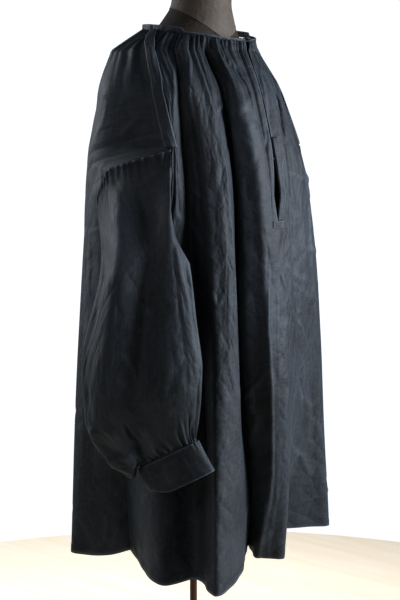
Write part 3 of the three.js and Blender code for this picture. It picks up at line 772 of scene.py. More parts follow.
@dataclass(frozen=True)
class WovenCloth:
    """A cloth or thread finish, from its thread spacing and its dark and faded colours.

    Its unevenness is measured on the cut cloth: slubs so many times longer than wide, broad dyed
    patches, small spots, crinkles, and creases for each turn, in radians from upright. The shares
    mix spots with patches, then slubs with both, and contrast is the range that the dye follows.
    """

    name: str
    dark: str
    faded: str
    worn: str
    thread_mm: float
    slub_mm: float
    roughness: float
    sheen: float
    sheen_colour: str
    relief_mm: float
    lay: ThreadLay = ThreadLay.EVEN
    gloss_level: float = 0.2
    crease_mm: float = 6.0
    crease_turns: tuple[float, ...] = ()
    crease_spacing_mm: Pair = (38.0, 120.0)
    slub_length: float = 22.0
    slub_relief_mm: float = 0.35
    patch_mm: float = 150.0
    spot_mm: float = 7.0
    crinkle_mm: float = 9.0
    crinkle_relief_mm: float = 1.3
    spot_share: float = 0.4
    slub_share: float = 0.45
    contrast: Pair = (0.36, 0.64)
    gloss_change: float = 0.07

    def slubs(self, tree: Tree, flat: Socket, turned: bool) -> Socket:
        """Return noise drawn out along the threads."""
        thin, long = 1 / (self.slub_mm * MM), 1 / (self.slub_mm * self.slub_length * MM)
        scale = (long, thin, 1.0) if turned else (thin, long, 1.0)
        return noise(tree, stretched(tree, flat, scale), FLAT_NOISE | {"in:Scale": 1.0, "in:Detail": 2.0})

    def cloudy(self, tree: Tree, flat: Socket, size_mm: float) -> Socket:
        """Return soft uneven patches of a real size."""
        return noise(tree, flat, FLAT_NOISE | {"in:Scale": 1 / (size_mm * MM), "in:Detail": 3.0})

    def ridges(self, tree: Tree, flat: Socket, turn: float) -> Socket:
        """Return the height of sharp uneven crease lines.

        Args:
            tree: the cloth's node tree.
            flat: the cut cloth's coordinates.
            turn: how far they turn from upright, in radians.

        Returns:
            The socket with the height, which is lowest along the lines.
        """
        across, down = self.crease_spacing_mm
        turned = add_node(tree, "ShaderNodeMapping", {"in:Rotation": (0.0, 0.0, turn)}, {"Vector": flat})
        drawn = stretched(tree, turned.outputs[0], (1 / (across * MM), 1 / (down * MM), 1.0))
        waves = noise(tree, drawn, FLAT_NOISE | {"in:Scale": 1.0, "in:Detail": 1.5, "in:Roughness": 0.4})
        centred = add_node(tree, "ShaderNodeMath", {"operation": "SUBTRACT", "in:1": 0.5}, {0: waves})
        return add_node(tree, "ShaderNodeMath", {"operation": "ABSOLUTE"}, {0: centred.outputs[0]}).outputs[0]

    def weave(self, tree: Tree, flat: Socket) -> Socket:
        """Return the height of the plain weave, over and under in both directions.

        Args:
            tree: the cloth's node tree.
            flat: the cut cloth's coordinates.

        Returns:
            The socket with the height.
        """
        bands = []
        for direction in ("X", "Y"):
            settings = {
                "wave_type": "BANDS",
                "bands_direction": direction,
                "in:Scale": 1 / (self.thread_mm * MM) * 2 * math.pi / BAND_TURN,
                "in:Distortion": 0.6,
                "in:Detail": 1.0,
            }
            wave = add_node(tree, "ShaderNodeTexWave", settings, {"Vector": flat})
            bands.append(wave.outputs["Fac"])
        both = add_node(tree, "ShaderNodeMath", {"operation": "MULTIPLY"}, {0: bands[0], 1: bands[1]})
        return both.outputs[0]

    def material(self) -> bpy.types.Material:
        """Return the node material of this cloth."""
        material, tree = new_material(self.name)
        flat = add_node(tree, "ShaderNodeUVMap", {"uv_map": "flat_cloth"}).outputs[0]
        warp, weft = self.slubs(tree, flat, False), self.slubs(tree, flat, True)
        slubs = mixed(tree, self.lay.value, warp, weft)
        patches = self.cloudy(tree, flat, self.patch_mm)
        cloud = mixed(tree, self.spot_share, patches, self.cloudy(tree, flat, self.spot_mm))
        shade = mixed(tree, self.slub_share, cloud, slubs)
        low, high = self.contrast
        share = ranged(tree, shade, {"in:From Min": low, "in:From Max": high})
        dyed = mixed_colour(tree, share, self.dark, self.faded)
        wear = add_node(tree, "ShaderNodeAttribute", {"attribute_name": "wear"})
        rubbed = add_node(
            tree,
            "ShaderNodeMix",
            {"data_type": "RGBA", "in:7": hex_linear(self.worn)},
            {0: wear.outputs["Fac"], 6: dyed},
        )
        surface = relief(tree, self.weave(tree, flat), self.relief_mm, 0.5)
        surface = relief(tree, slubs, self.slub_relief_mm, 0.6, surface)
        crinkle = self.cloudy(tree, flat, self.crinkle_mm)
        surface = relief(tree, crinkle, self.crinkle_relief_mm, 0.6, surface)
        for turn in self.crease_turns:
            surface = relief(tree, self.ridges(tree, flat, turn), self.crease_mm, 0.8, surface)
        low, high = self.roughness - self.gloss_change, self.roughness + self.gloss_change
        shader = add_node(
            tree,
            "ShaderNodeBsdfPrincipled",
            {
                "in:IOR": 1.5,
                "in:Specular IOR Level": self.gloss_level,
                "in:Sheen Weight": self.sheen,
                "in:Sheen Roughness": 0.45,
                "in:Sheen Tint": hex_linear(self.sheen_colour),
            },
            {
                "Base Color": rubbed.outputs[2],
                "Roughness": ranged(tree, slubs, {"in:To Min": low, "in:To Max": high}),
                "Normal": surface,
            },
        )
        close_material(tree, shader)
        return material


@dataclass(frozen=True)
class BrushPaintedMetal:
    """Metal under brown enamel, brushed on by hand: satin, with faint drawn-out brush marks.

    The scales are so many marks or worn spots to the metre.
    """

    name: str
    colour: str
    shaded: str
    roughness: float
    mark_scale: tuple[float, float, float] = (900.0, 900.0, 14.0)
    mark_height_mm: float = 0.2
    spot_scale: float = 60.0
    gloss_change: Pair = (-0.08, 0.1)

    def material(self) -> bpy.types.Material:
        """Return the node material of this paint."""
        material, tree = new_material(self.name)
        place = add_node(tree, "ShaderNodeTexCoord").outputs["Object"]
        drawn = stretched(tree, place, self.mark_scale)
        marks = noise(tree, drawn, {"in:Scale": 1.0, "in:Detail": 3.0})
        spots = noise(tree, place, {"in:Scale": self.spot_scale, "in:Detail": 4.0})
        low, high = (self.roughness + change for change in self.gloss_change)
        shader = add_node(
            tree,
            "ShaderNodeBsdfPrincipled",
            {"in:IOR": 1.5},
            {
                "Base Color": mixed_colour(tree, spots, self.shaded, self.colour),
                "Roughness": ranged(tree, spots, {"in:To Min": low, "in:To Max": high}),
                "Normal": relief(tree, marks, self.mark_height_mm, 0.25),
            },
        )
        close_material(tree, shader)
        return material


@dataclass(frozen=True)
class LimedBoards:
    """Plain pale floor: limed boards sealed matt, almost white, with a faint warm grain.

    The boards glow a little, and more so away from the stand: near_glow up to far_from metres,
    rising to far_glow at far_full. This stands in for the bright room that isn't built.
    """

    name: str = "limed_wood_floor"
    pale: str = "#fbf4e6"
    grain: str = "#f1dfc4"
    near_glow: float = 0.05
    far_glow: float = 0.52
    far_from: float = 0.5
    far_full: float = 1.2
    grain_scale: tuple[float, float, float] = (30.0, 2.0, 1.0)
    roughness: float = 0.6

    def material(self) -> bpy.types.Material:
        """Return the node material of the floor."""
        material, tree = new_material(self.name)
        place = add_node(tree, "ShaderNodeTexCoord").outputs["Object"]
        drawn = stretched(tree, place, self.grain_scale)
        grain = noise(tree, drawn, {"in:Scale": 1.0, "in:Detail": 4.0})
        tone = mixed_colour(tree, grain, self.pale, self.grain)
        distance = add_node(tree, "ShaderNodeVectorMath", {"operation": "LENGTH"}, {0: place})
        reach = {"in:From Min": self.far_from, "in:From Max": self.far_full}
        glow = reach | {"in:To Min": self.near_glow, "in:To Max": self.far_glow}
        shader = add_node(
            tree,
            "ShaderNodeBsdfPrincipled",
            {"in:Roughness": self.roughness},
            {
                "Base Color": tone,
                "Emission Color": tone,
                "Emission Strength": ranged(tree, distance.outputs["Value"], glow),
            },
        )
        close_material(tree, shader)
        return material


# Flax yarn woven plain, piece dyed blue-black and washed: dull and cool, with paler slubs and a
# faint pressed sheen. Its threads are about 0.6 mm apart; they are drawn 1.6 mm apart to show.
LINEN = WovenCloth(
    name="blue_black_linen_plain_weave",
    dark="#0b0d10",
    faded="#23282d",
    worn="#434b52",
    thread_mm=1.6,
    slub_mm=1.7,
    roughness=0.66,
    sheen=0.05,
    sheen_colour="#8fa3b8",
    relief_mm=0.12,
    lay=ThreadLay.WARP,
    crease_turns=(0.12, 0.75, -0.6),
)
# Cotton jersey pulled over the form: soft, matt and grey-brown, in fine stitches about 1 mm wide.
# Its very dark tone is partly the jersey's own colour and partly painted shade.
FORM_COVER = WovenCloth(
    name="grey_brown_cotton_knit_and_painted_shade",
    dark="#17130f",
    faded="#2c2620",
    worn="#3a332b",
    thread_mm=2.4,
    slub_mm=2.2,
    roughness=0.9,
    sheen=0.08,
    sheen_colour="#a89c88",
    relief_mm=0.4,
)
# Smooth sateen over the neck of the form: closer and greyer than the cover below it, whose darker tone is
# partly painted shade.
NECK_COVER = WovenCloth(
    name="taupe_cotton_sateen",
    dark="#352e28",
    faded="#463f38",
    worn="#5d554d",
    thread_mm=1.2,
    slub_mm=1.2,
    roughness=0.72,
    sheen=0.08,
    sheen_colour="#cabfb4",
    relief_mm=0.08,
)
# Linen sewing thread, waxed and dyed with the cloth: a little blacker and glossier than it.
THREAD = WovenCloth(
    name="waxed_linen_thread",
    dark="#080a0c",
    faded="#14181c",
    worn="#20262b",
    thread_mm=0.5,
    slub_mm=0.8,
    roughness=0.45,
    sheen=0.1,
    sheen_colour="#9fb0c0",
    relief_mm=0.05,
)
FULL_SHEET = 0.999  # the most of its rectangle that a cut may fill
POLE_PAINT = BrushPaintedMetal("brown_brushed_enamel_on_steel", "#43200b", "#2c1406", 0.7)
BASE_PAINT = BrushPaintedMetal("dark_brown_enamel_on_cast_base", "#3a271b", "#2a1b12", 0.5)


@dataclass
class Workshop:
    """Makes Blender objects from grids, keeps one material for each finish and reports pieces."""

    axis: Vector
    materials: dict[str, bpy.types.Material] = field(default_factory=dict)

    def finish(self, cloth: WovenCloth | BrushPaintedMetal | LimedBoards) -> bpy.types.Material:
        """Return the one material of a finish, made when it is first asked for."""
        if cloth.name not in self.materials:
            self.materials[cloth.name] = cloth.material()
        return self.materials[cloth.name]

    def placed(self, points: Array) -> Array:
        """Return millimetre points about the garment's axis as metres in the row frame."""
        flat = points.reshape(-1, 3) * MM
        return flat + np.array([self.axis.x, self.axis.y, 0.0])

    def new_piece(
        self, name: str, mesh: bpy.types.Mesh, finish: WovenCloth | BrushPaintedMetal | LimedBoards
    ) -> Piece:
        """Make an object of a mesh, in one finish.

        Args:
            name: the piece's name.
            mesh: its mesh.
            finish: what it is made of.

        Returns:
            The new object, linked to the scene.
        """
        mesh.materials.append(self.finish(finish))
        piece = bpy.data.objects.new(name, mesh)
        bpy.context.collection.objects.link(piece)
        return piece

    def cloth_object(
        self,
        name: str,
        grids: Sequence[ClothGrid],
        finish: WovenCloth,
        thickness: float = CLOTH_THICKNESS,
        rim_only: bool = False,
        weld: bool = False,
    ) -> Piece:
        """Make one piece of cloth from its grids.

        Args:
            name: the piece's name.
            grids: the grids that it is made of.
            finish: the cloth.
            thickness: thickness of the cloth in millimetres.
            rim_only: gives the thickness at the cut edges alone, where a piece has many points.
            weld: joins points that lie on each other.

        Returns:
            The new object, not yet riding on a body.
        """
        points, faces, flats, wears = [], [], [], []
        start = 0
        for grid in grids:
            rows, columns = grid.lift.shape
            index = start + np.arange(rows * columns).reshape(rows, columns)
            quads = np.stack([index[:-1, :-1], index[1:, :-1], index[1:, 1:], index[:-1, 1:]], axis=-1)
            quads = quads.reshape(-1, 4)
            faces.append(quads if grid.outward > 0 else quads[:, ::-1])
            points.append(self.placed(grid.finished()))
            flats.append(grid.flat().reshape(-1, 2))
            wears.append(np.clip(grid.wear, 0, 1).reshape(-1))
            start += rows * columns
        mesh = bpy.data.meshes.new(name)
        quads = np.concatenate(faces)
        mesh.from_pydata(np.concatenate(points).tolist(), [], quads.tolist())
        mesh.attributes.new("wear", "FLOAT", "POINT").data.foreach_set("value", np.concatenate(wears))
        layer = mesh.uv_layers.new(name="flat_cloth")
        layer.data.foreach_set("uv", np.concatenate(flats)[quads.ravel()].ravel())
        if weld:
            work = bmesh.new()
            work.from_mesh(mesh)
            bmesh.ops.remove_doubles(work, verts=work.verts, dist=WELD_GAP * MM)
            work.to_mesh(mesh)
            work.free()
        mesh.polygons.foreach_set("use_smooth", np.ones(len(mesh.polygons), bool))
        mesh.update()
        piece = self.new_piece(name, mesh, finish)
        if thickness > 0:
            shell = piece.modifiers.new("cloth_thickness", "SOLIDIFY")
            shell.thickness = thickness * MM
            shell.offset = 0.0
            shell.use_rim_only = rim_only
        return piece

    def seat(self, piece: Piece, slot: str, *nodes: str) -> Piece:
        """Let a piece ride on the one body and stand for its solids.

        Args:
            piece: the piece.
            slot: not used.
            nodes: the solids that it takes the place of, if any.

        Returns:
            The same piece.
        """
        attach(piece, "root")
        if nodes:
            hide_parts(*nodes)
        LOG.info("made %s", piece.name)
        return piece

    def declare(
        self, piece: Piece, grids: Sequence[ClothGrid], held: str, rests: Sequence[str]
    ) -> None:
        """State a cloth piece's flat cut, from its widest row and its middle column.

        Args:
            piece: the piece.
            grids: the grids that it is made of, side by side in the cut.
            held: not used.
            rests: not used.
        """
        widths, lengths, area = [], [], 0.0
        for grid in grids:
            rows = [lengths_along(row)[-1] for row in grid.points]
            widths.append(max(rows) * MM)
            lengths.append(lengths_along(grid.points[:, grid.points.shape[1] // 2])[-1] * MM)
            cell_down = np.linalg.norm(np.diff(grid.points, axis=0), axis=-1)[:, :-1]
            cell_along = np.linalg.norm(np.diff(grid.points, axis=1), axis=-1)[:-1]
            area += float((cell_down * cell_along).sum()) * MM * MM
        width, length = sum(widths), max(lengths)
        area = min(area, FULL_SHEET * width * length)
        sizes = (width / MM, length / MM, area)
        LOG.info("%s is cut %.0f by %.0f mm, %.3f square metres", piece.name, *sizes)


FRONT_CREASES = (
    Crease("groove behind the side crest", 6.0, -8.0, (
        (2.75, 1470), (2.48, 1426), (1.95, 1356), (1.7, 1278), (1.8, 1198), (2.08, 984), (2.42, 750),
        (2.70, 540),
    )),
    Crease("deep groove from the neck", 7.0, -17.0, (
        (4.80, 1484), (5.10, 1430), (5.20, 1400), (5.14, 1364), (5.20, 1312), (5.18, 1178),
        (5.16, 1000), (5.15, 760), (5.15, 490),
    )),
    Crease("crest beside the deep groove", 22.0, 20.0, (
        (5.6, 1420), (5.55, 1330), (5.5, 1178), (5.5, 1000), (5.5, 760), (5.5, 600), (5.55, 470),
    )),
    Crease("groove beside the placket", 7.0, -8.0, (
        (10.9, 1400), (10.40, 1324), (9.98, 1266), (9.68, 1128),
    )),
    Crease("groove right of the deep one", 3.2, -3.6, (
        (5.24, 1482), (5.86, 1438), (6.45, 1412), (6.64, 1380), (6.54, 1320),
    )),
    Crease("groove towards the slit", 4.8, -3.51, ((6.36, 1480), (6.60, 1430), (6.8, 1380))),
    Crease("side crest at the neck", 4.0, 3.0, ((2.9, 1478), (2.72, 1444), (1.5, 1372), (0.9, 1312))),
    Crease("second crest at the neck", 3.5, 2.5, ((3.5, 1478), (3.40, 1426), (2.64, 1364), (2.28, 1300))),
    Crease("mark like a V, right leg", 4.0, 2.6, ((2.88, 1024), (3.12, 992))),
    Crease("mark like a V, left leg", 4.0, 2.6, ((3.12, 990), (3.46, 1018))),
    Crease("short mark on the yoke", 3.8, 2.3, ((4.06, 1334), (4.94, 1350))),
    Crease("mark below the slit", 4.0, 2.3, ((8.16, 1048), (8.92, 1002))),
    Crease("long slant mark", 4.2, 3.1, ((9.04, 1006), (10.40, 938), (11.04, 868))),
    Crease("hook of the slant mark", 4.0, -2.3, ((11.06, 864), (10.40, 838))),
    Crease("steep mark at the hip", 4.2, 2.6, ((10.14, 848), (11.10, 734))),
    Crease("long mark above the hem", 4.4, 2.8, ((9.12, 752), (11.28, 646), (11.60, 580))),
    Crease("knee mark, upper leg", 4.0, 2.3, ((5.54, 812), (5.72, 768))),
    Crease("knee mark, lower leg", 4.0, 2.3, ((5.72, 770), (5.44, 718))),
    Crease("slant mark beside the groove", 4.2, 2.6, ((6.00, 876), (5.38, 808))),
    Crease("crease below the bar", 4.6, -2.16, ((6.66, 1096), (6.34, 996))),
    Crease("line beside the slit", 3.7, -3.6, ((7.72, 1322), (7.76, 1294), (7.2, 1262))),
    Crease("edge of the lit band", 4.0, 3.0, ((6.90, 1128), (6.16, 944), (6.44, 688), (6.5, 560))),
    Crease("upright edge of the front lobe", 4.0, -3.8, ((2.7, 760), (2.68, 612), (2.64, 500))),
    Crease("slack fold on the left front", 6.0, -2.5, (
        (12.8, 1180), (12.6, 980), (12.9, 760), (13.1, 560),
    )),
    Crease("second slack fold", 5.0, 3.8, ((11.6, 1240), (11.3, 1060), (11.4, 900))),
)
BACK_CREASES = (
    Crease("groove below the left shoulder", 5.0, -3.5, (
        (2.2, 1440), (2.5, 1300), (2.6, 1120), (2.4, 860),
    )),
    Crease("groove beside the middle", 5.0, -4.0, (
        (4.2, 1470), (4.4, 1330), (4.3, 1120), (4.4, 820), (4.5, 600),
    )),
    Crease("second groove beside the middle", 4.0, -3.0, (
        (5.8, 1476), (5.7, 1350), (5.9, 1150), (5.7, 940),
    )),
    Crease("groove below the right shoulder", 5.0, -3.5, (
        (7.7, 1450), (7.5, 1310), (7.4, 1100), (7.5, 800),
    )),
    Crease("crest on the right back", 5.0, 2.5, ((8.4, 1380), (8.3, 1200), (8.5, 960))),
    Crease("long slant mark", 4.2, 2.8, ((3.2, 980), (4.0, 880), (4.3, 790))),
    Crease("short slant mark", 4.0, 2.3, ((6.2, 860), (6.6, 800))),
    Crease("mark above the hem", 4.4, 2.6, ((1.6, 700), (2.2, 610), (2.3, 540))),
)
SLEEVE_CREASES = (
    Crease("broad ridge down the arm", 24.0, 12.0, (
        (0.15, 0.02), (0.20, 0.24), (0.225, 0.43), (0.238, 0.64), (0.258, 0.82),
    )),
    Crease("broad trough in front of it", 28.0, -20.0, (
        (0.045, 0.05), (0.10, 0.24), (0.122, 0.43), (0.135, 0.64), (0.15, 0.80), (0.15, 0.92),
    )),
    Crease("swell along the front edge", 22.0, 9.0, (
        (0.97, 0.06), (0.945, 0.24), (0.925, 0.43), (0.92, 0.64), (0.925, 0.84),
    )),
    Crease("front fold", 6.0, 8.0, (
        (0.985, 0.08), (0.94, 0.22), (0.905, 0.31), (0.89, 0.56), (0.89, 0.81), (0.90, 0.93),
    )),
    Crease("line beside the front fold", 4.0, -5.0, (
        (0.965, 0.20), (0.935, 0.33), (0.925, 0.56), (0.925, 0.80), (0.935, 0.92),
    )),
    Crease("slack fold at the back", 12.0, -5.0, (
        (0.29, 0.12), (0.32, 0.32), (0.33, 0.58), (0.32, 0.74),
    )),
    Crease("deep crease above the cuff", 4.5, -10.0, (
        (0.205, 0.82), (0.216, 0.872), (0.244, 0.895), (0.29, 0.935),
    )),
    Crease("crest beside the deep crease", 8.0, 6.0, ((0.25, 0.82), (0.27, 0.87), (0.31, 0.91))),
    Crease("crest on its other side", 7.0, 4.0, ((0.16, 0.84), (0.185, 0.89), (0.22, 0.925))),
    Crease("crest to the corner", 8.0, 6.0, ((0.30, 0.78), (0.35, 0.82), (0.39, 0.85))),
    Crease("crease under that crest", 5.0, -5.0, ((0.30, 0.86), (0.34, 0.88), (0.38, 0.90))),
    Crease("bag over the cuff's back end", 27.0, 22.0, (
        (0.33, 0.85), (0.37, 0.875), (0.41, 0.895), (0.44, 0.91),
    )),
    Crease("pinch at the front end", 3.5, -5.0, ((0.985, 0.84), (0.99, 0.89), (1.005, 0.935))),
    Crease("second pinch at the front end", 3.5, -4.0, ((0.955, 0.85), (0.955, 0.93))),
    Crease("small mark at the elbow", 4.0, 1.4, ((0.148, 0.449), (0.106, 0.529))),
    Crease("long mark on the forearm", 4.2, 1.5, ((0.20, 0.60), (0.16, 0.68), (0.15, 0.76))),
)
CUFF_CREASES = (
    Crease("bend across the cuff", 6.0, -2.6, ((62, 4), (74, 26), (70, 52))),
    Crease("crest behind the bend", 9.0, 1.8, ((92, 8), (100, 30), (96, 54))),
    Crease("slant mark", 4.0, 1.0, ((120, 12), (138, 34))),
    Crease("bend inside the arm", 6.0, -2.2, ((250, 6), (262, 30), (256, 54))),
)


@dataclass
class BodyPanels:
    """The gathered front panel with its slit, and the gathered back panel.

    row_shares spread the rows evenly and by squares. flat_beside_seam is where the gathers begin
    beside a shoulder seam. The flat coordinates are taken measured_above_hem rows above the hem.
    """

    shop: Workshop
    front_columns: int = 330
    front_rows: int = 270
    join_columns: int = 12
    back_columns: int = 260
    back_rows: int = 220
    row_shares: Pair = (0.55, 0.45)
    measured_above_hem: int = 40
    least_spread: float = 0.3
    flat_beside_seam: Pair = (12.0, 28.0)
    seam_width: float = 6.0
    hem_step: float = 0.5
    slit_wear: float = 0.6
    slit_wear_folds: float = 0.08
    neck_gathers: Gathers = Gathers(4.6, 0.45, 2.6, 210, 11)
    long_gathers: Gathers = Gathers(15.0, 0.5, 2.8, 420, 12)
    back_gathers: Gathers = Gathers(5.2, 0.45, 2.5, 190, 21)
    long_back_gathers: Gathers = Gathers(17.0, 0.5, 2.8, 400, 22)
    front: list[ClothGrid] = field(default_factory=list)
    back: ClothGrid | None = None

    def row_heights(self, count: int) -> Array:
        """Work out row heights, closer together at the gathered neck, with one at the slit's end.

        Args:
            count: how many rows.

        Returns:
            Falling heights from the neck to the hem.
        """
        share = np.linspace(0, 1, count)
        even, squared = self.row_shares
        heights = NECK_Z - (NECK_Z - HEM_Z) * (even * share + squared * share**2)
        heights[np.argmin(np.abs(heights - SLIT_END_Z))] = SLIT_END_Z
        return heights

    def dress(
        self, grid: ClothGrid, along: Array, gathers: Sequence[Gathers], seams: Sequence[str]
    ) -> None:
        """Gather one grid at the neck, flat beside its shoulder seams, and turn up its hem.

        Args:
            grid: the grid.
            along: how far along the neck edge each column is, in millimetres.
            gathers: the kinds of gathers that it has.
            seams: which of its edges, start or end, have a shoulder seam.
        """
        down = NECK_Z - grid.rows[:, None] + 0 * along[None, :]
        width = np.array([lengths_along(row)[-1] for row in grid.points])
        spread = np.maximum(width / width[0], self.least_spread)[:, None]
        flat_share = np.ones(down.shape)
        row_lengths = np.stack([lengths_along(row) for row in grid.points])
        for seam in seams:
            gap = row_lengths if seam == "start" else row_lengths[:, -1:] - row_lengths
            beside = smoothstep(gap, *self.flat_beside_seam)
            flat_share *= np.where(down < NECK_Z - SHOULDER_END_Z, beside, 1)
            flat_share *= smoothstep(gap, 0, self.seam_width)
        for kind in gathers:
            grid.lift += kind.height(along, down, spread) * flat_share
        hem_gap = grid.rows[:, None] - HEM_Z
        turned_up = 1 - smoothstep(hem_gap, HEM_TURN - 1, HEM_TURN + 1)
        grid.lift += self.hem_step * turned_up * np.ones(down.shape)
        above_hem = (hem_gap - (HEM_TURN + 1.5)) / 1.6
        grid.lift -= self.hem_step * np.exp(-(above_hem**2))

    def build(self) -> None:
        """Build both panels."""
        heights = self.row_heights(self.front_rows)
        right_count = round(self.front_columns * SLIT_FOLD / LAST_FRONT_FOLD)
        halves = (
            (1.0, np.linspace(0, SLIT_FOLD, right_count)),
            (-1.0, np.linspace(SLIT_FOLD, LAST_FRONT_FOLD, self.front_columns - right_count)),
        )
        ring_folds = np.linspace(0, LAST_FRONT_FOLD, 301)
        ring = lengths_along(FRONT.section(ring_folds, np.array([NECK_Z]))[0])
        widest = len(heights) - self.measured_above_hem
        for sign, u in halves:
            grid = ClothGrid(front_half(u, heights, sign), heights, u, widest_row=widest)
            along = np.interp(u, ring_folds, ring)
            seams = ("start",) if sign > 0 else ("end",)
            self.dress(grid, along, (self.neck_gathers, self.long_gathers), seams)
            for crease in FRONT_CREASES:
                low, high = min(p[0] for p in crease.path), max(p[0] for p in crease.path)
                if high >= u[0] and low <= u[-1]:
                    grid.add_crease(crease)
            grid.add_ripples(1.1, 60, 700, 31)
            grid.worn_edges(3.0, ("bottom",))
            edge = np.abs(u - SLIT_FOLD)[None, :]
            open_rows = (heights > SLIT_END_Z)[:, None]
            grid.wear += self.slit_wear * np.exp(-((edge / self.slit_wear_folds) ** 2)) * open_rows
            self.front.append(grid)
        self.front[0].scatter(70, 150, 41, deepest=0.9)
        self.front[1].scatter(90, 170, 42, steep=0.35)
        self.join_slit()
        piece = self.shop.cloth_object("front_panel_linen", self.front, LINEN, rim_only=True, weld=True)
        self.shop.seat(piece, "linen", "front_panel")
        self.shop.declare(piece, self.front, "gathered", ["dress_form_cover"])
        self.build_back()

    def join_slit(self) -> None:
        """Give both halves the same height where they meet below the slit."""
        right, left = self.front
        closed = right.rows <= SLIT_END_Z
        shared = (right.lift[closed, -1] + left.lift[closed, 0]) / 2
        for step in range(self.join_columns):
            weight = 1 - step / self.join_columns
            for grid, column in ((right, -1 - step), (left, step)):
                grid.lift[closed, column] += weight * (shared - grid.lift[closed, column])
        middle = (right.finished()[closed, -1] + left.finished()[closed, 0]) / 2
        right.lift[closed, -1], left.lift[closed, 0] = 0.0, 0.0
        right.points[closed, -1], left.points[closed, 0] = middle, middle

    def build_back(self) -> None:
        """Build the back panel."""
        heights = self.row_heights(self.back_rows)
        u = np.linspace(0, LAST_BACK_FOLD, self.back_columns)
        widest = len(heights) - self.measured_above_hem
        grid = ClothGrid(BACK.section(u, heights), heights, u, widest_row=widest)
        along = lengths_along(grid.points[0])
        self.dress(grid, along, (self.back_gathers, self.long_back_gathers), ("start", "end"))
        for crease in BACK_CREASES:
            grid.add_crease(crease)
        grid.add_ripples(1.2, 70, 700, 32)
        grid.scatter(130, 160, 43, steep=0.4)
        grid.worn_edges(3.0, ("bottom",))
        self.back = grid
        piece = self.shop.cloth_object("back_panel_linen", [grid], LINEN, rim_only=True)
        self.shop.seat(piece, "linen", "back_panel")
        self.shop.declare(piece, [grid], "gathered", ["dress_form_cover"])


@dataclass
class ShoulderStrips:
    """Straight strips over the shoulder seams, from the neck to the sleeve heads."""

    shop: Workshop
    half_width: float = STRIP_WIDTH / 2
    columns: int = 17
    rows: int = 90
    samples: int = 60
    turned_in: float = 2.5
    seam_depth: float = 0.4
    above_panel: float = 1.2
    grids: dict[str, ClothGrid] = field(default_factory=dict)

    def build(self) -> None:
        """Build the strip of each side."""
        z = np.linspace(NECK_Z, SHOULDER_END_Z + 3, self.rows)
        offsets = np.linspace(-self.half_width, self.half_width, self.columns)
        for side, sign in (("right", 1.0), ("left", -1.0)):
            front_ends = (0, 3) if sign > 0 else (LAST_FRONT_FOLD, LAST_FRONT_FOLD - 3)
            back_ends = (LAST_BACK_FOLD, LAST_BACK_FOLD - 2) if sign > 0 else (0, 2)
            u_front, u_back = (np.linspace(*ends, self.samples) for ends in (front_ends, back_ends))
            front, back = front_half(u_front, z, sign), BACK.section(u_back, z)
            lines = []
            for before, after in zip(back, front):
                start = point_along(before, -offsets[offsets < 0])
                end = point_along(after, offsets[offsets >= 0])
                lines.append(np.concatenate([start, end]))
            grid = ClothGrid(np.stack(lines), z, offsets, outward=sign)
            rise = 1 - smoothstep(np.abs(offsets), self.half_width - self.turned_in, self.half_width)
            grid.lift += LAY + self.above_panel + 0.5 * rise[None, :]
            seam = np.abs(np.abs(offsets) - self.half_width + self.turned_in)
            grid.lift -= self.seam_depth * np.exp(-((seam / 0.8) ** 2))[None, :]
            grid.worn_edges(1.6, ("start", "end"))
            grid.add_ripples(0.35, 16, 120, 51 if sign > 0 else 52)
            self.grids[side] = grid
            piece = self.shop.cloth_object(f"shoulder_strip_{side}_linen", [grid], LINEN)
            self.shop.seat(piece, "linen", f"shoulder_strip_{side}")
            self.shop.declare(piece, [grid], "stretched", ["front_panel_linen", "back_panel_linen"])


@dataclass
class Placket:
    """The strip on the slit's left edge, with the bar that closes the slit's lower end."""

    shop: Workshop
    width: float = PLACKET_WIDTH
    bar_height: float = PLACKET_WIDTH
    edge_gap: float = 0.6
    folds_reached: int = 2
    samples: int = 60
    grids: list[ClothGrid] = field(default_factory=list)

    def line(self, z: Array, sign: float, lengths: Array) -> Array:
        """Return rows of points on one half of the front."""
        u = np.linspace(SLIT_FOLD, SLIT_FOLD - self.folds_reached * sign, self.samples)
        return np.stack([point_along(row, lengths) for row in front_half(u, z, sign)])

    def build(self) -> None:
        """Build the strip and the bar."""
        z = np.linspace(PLACKET_TOP_Z, SLIT_END_Z, 60)
        across = np.linspace(self.edge_gap, self.width, 11)
        strip = ClothGrid(self.line(z, -1.0, across), z, across)
        low = np.linspace(SLIT_END_Z, SLIT_END_Z - self.bar_height, 10)
        right = self.line(low, 1.0, across)[:, ::-1]
        left = self.line(low, -1.0, across)
        reach = np.concatenate([-across[::-1], across])
        bar = ClothGrid(np.concatenate([right, left], axis=1), low, reach)
        for grid in (strip, bar):
            grid.lift += LAY
        strip.worn_edges(1.4, ("start", "end"))
        bar.worn_edges(1.4, ("top", "bottom", "start", "end"))
        strip.add_ripples(0.3, 12, 80, 61)
        self.grids = [strip, bar]
        piece = self.shop.cloth_object("placket_strip_linen", self.grids, LINEN)
        self.shop.seat(piece, "linen", "placket_strip")
        self.shop.declare(piece, self.grids, "laid", ["front_panel_linen"])


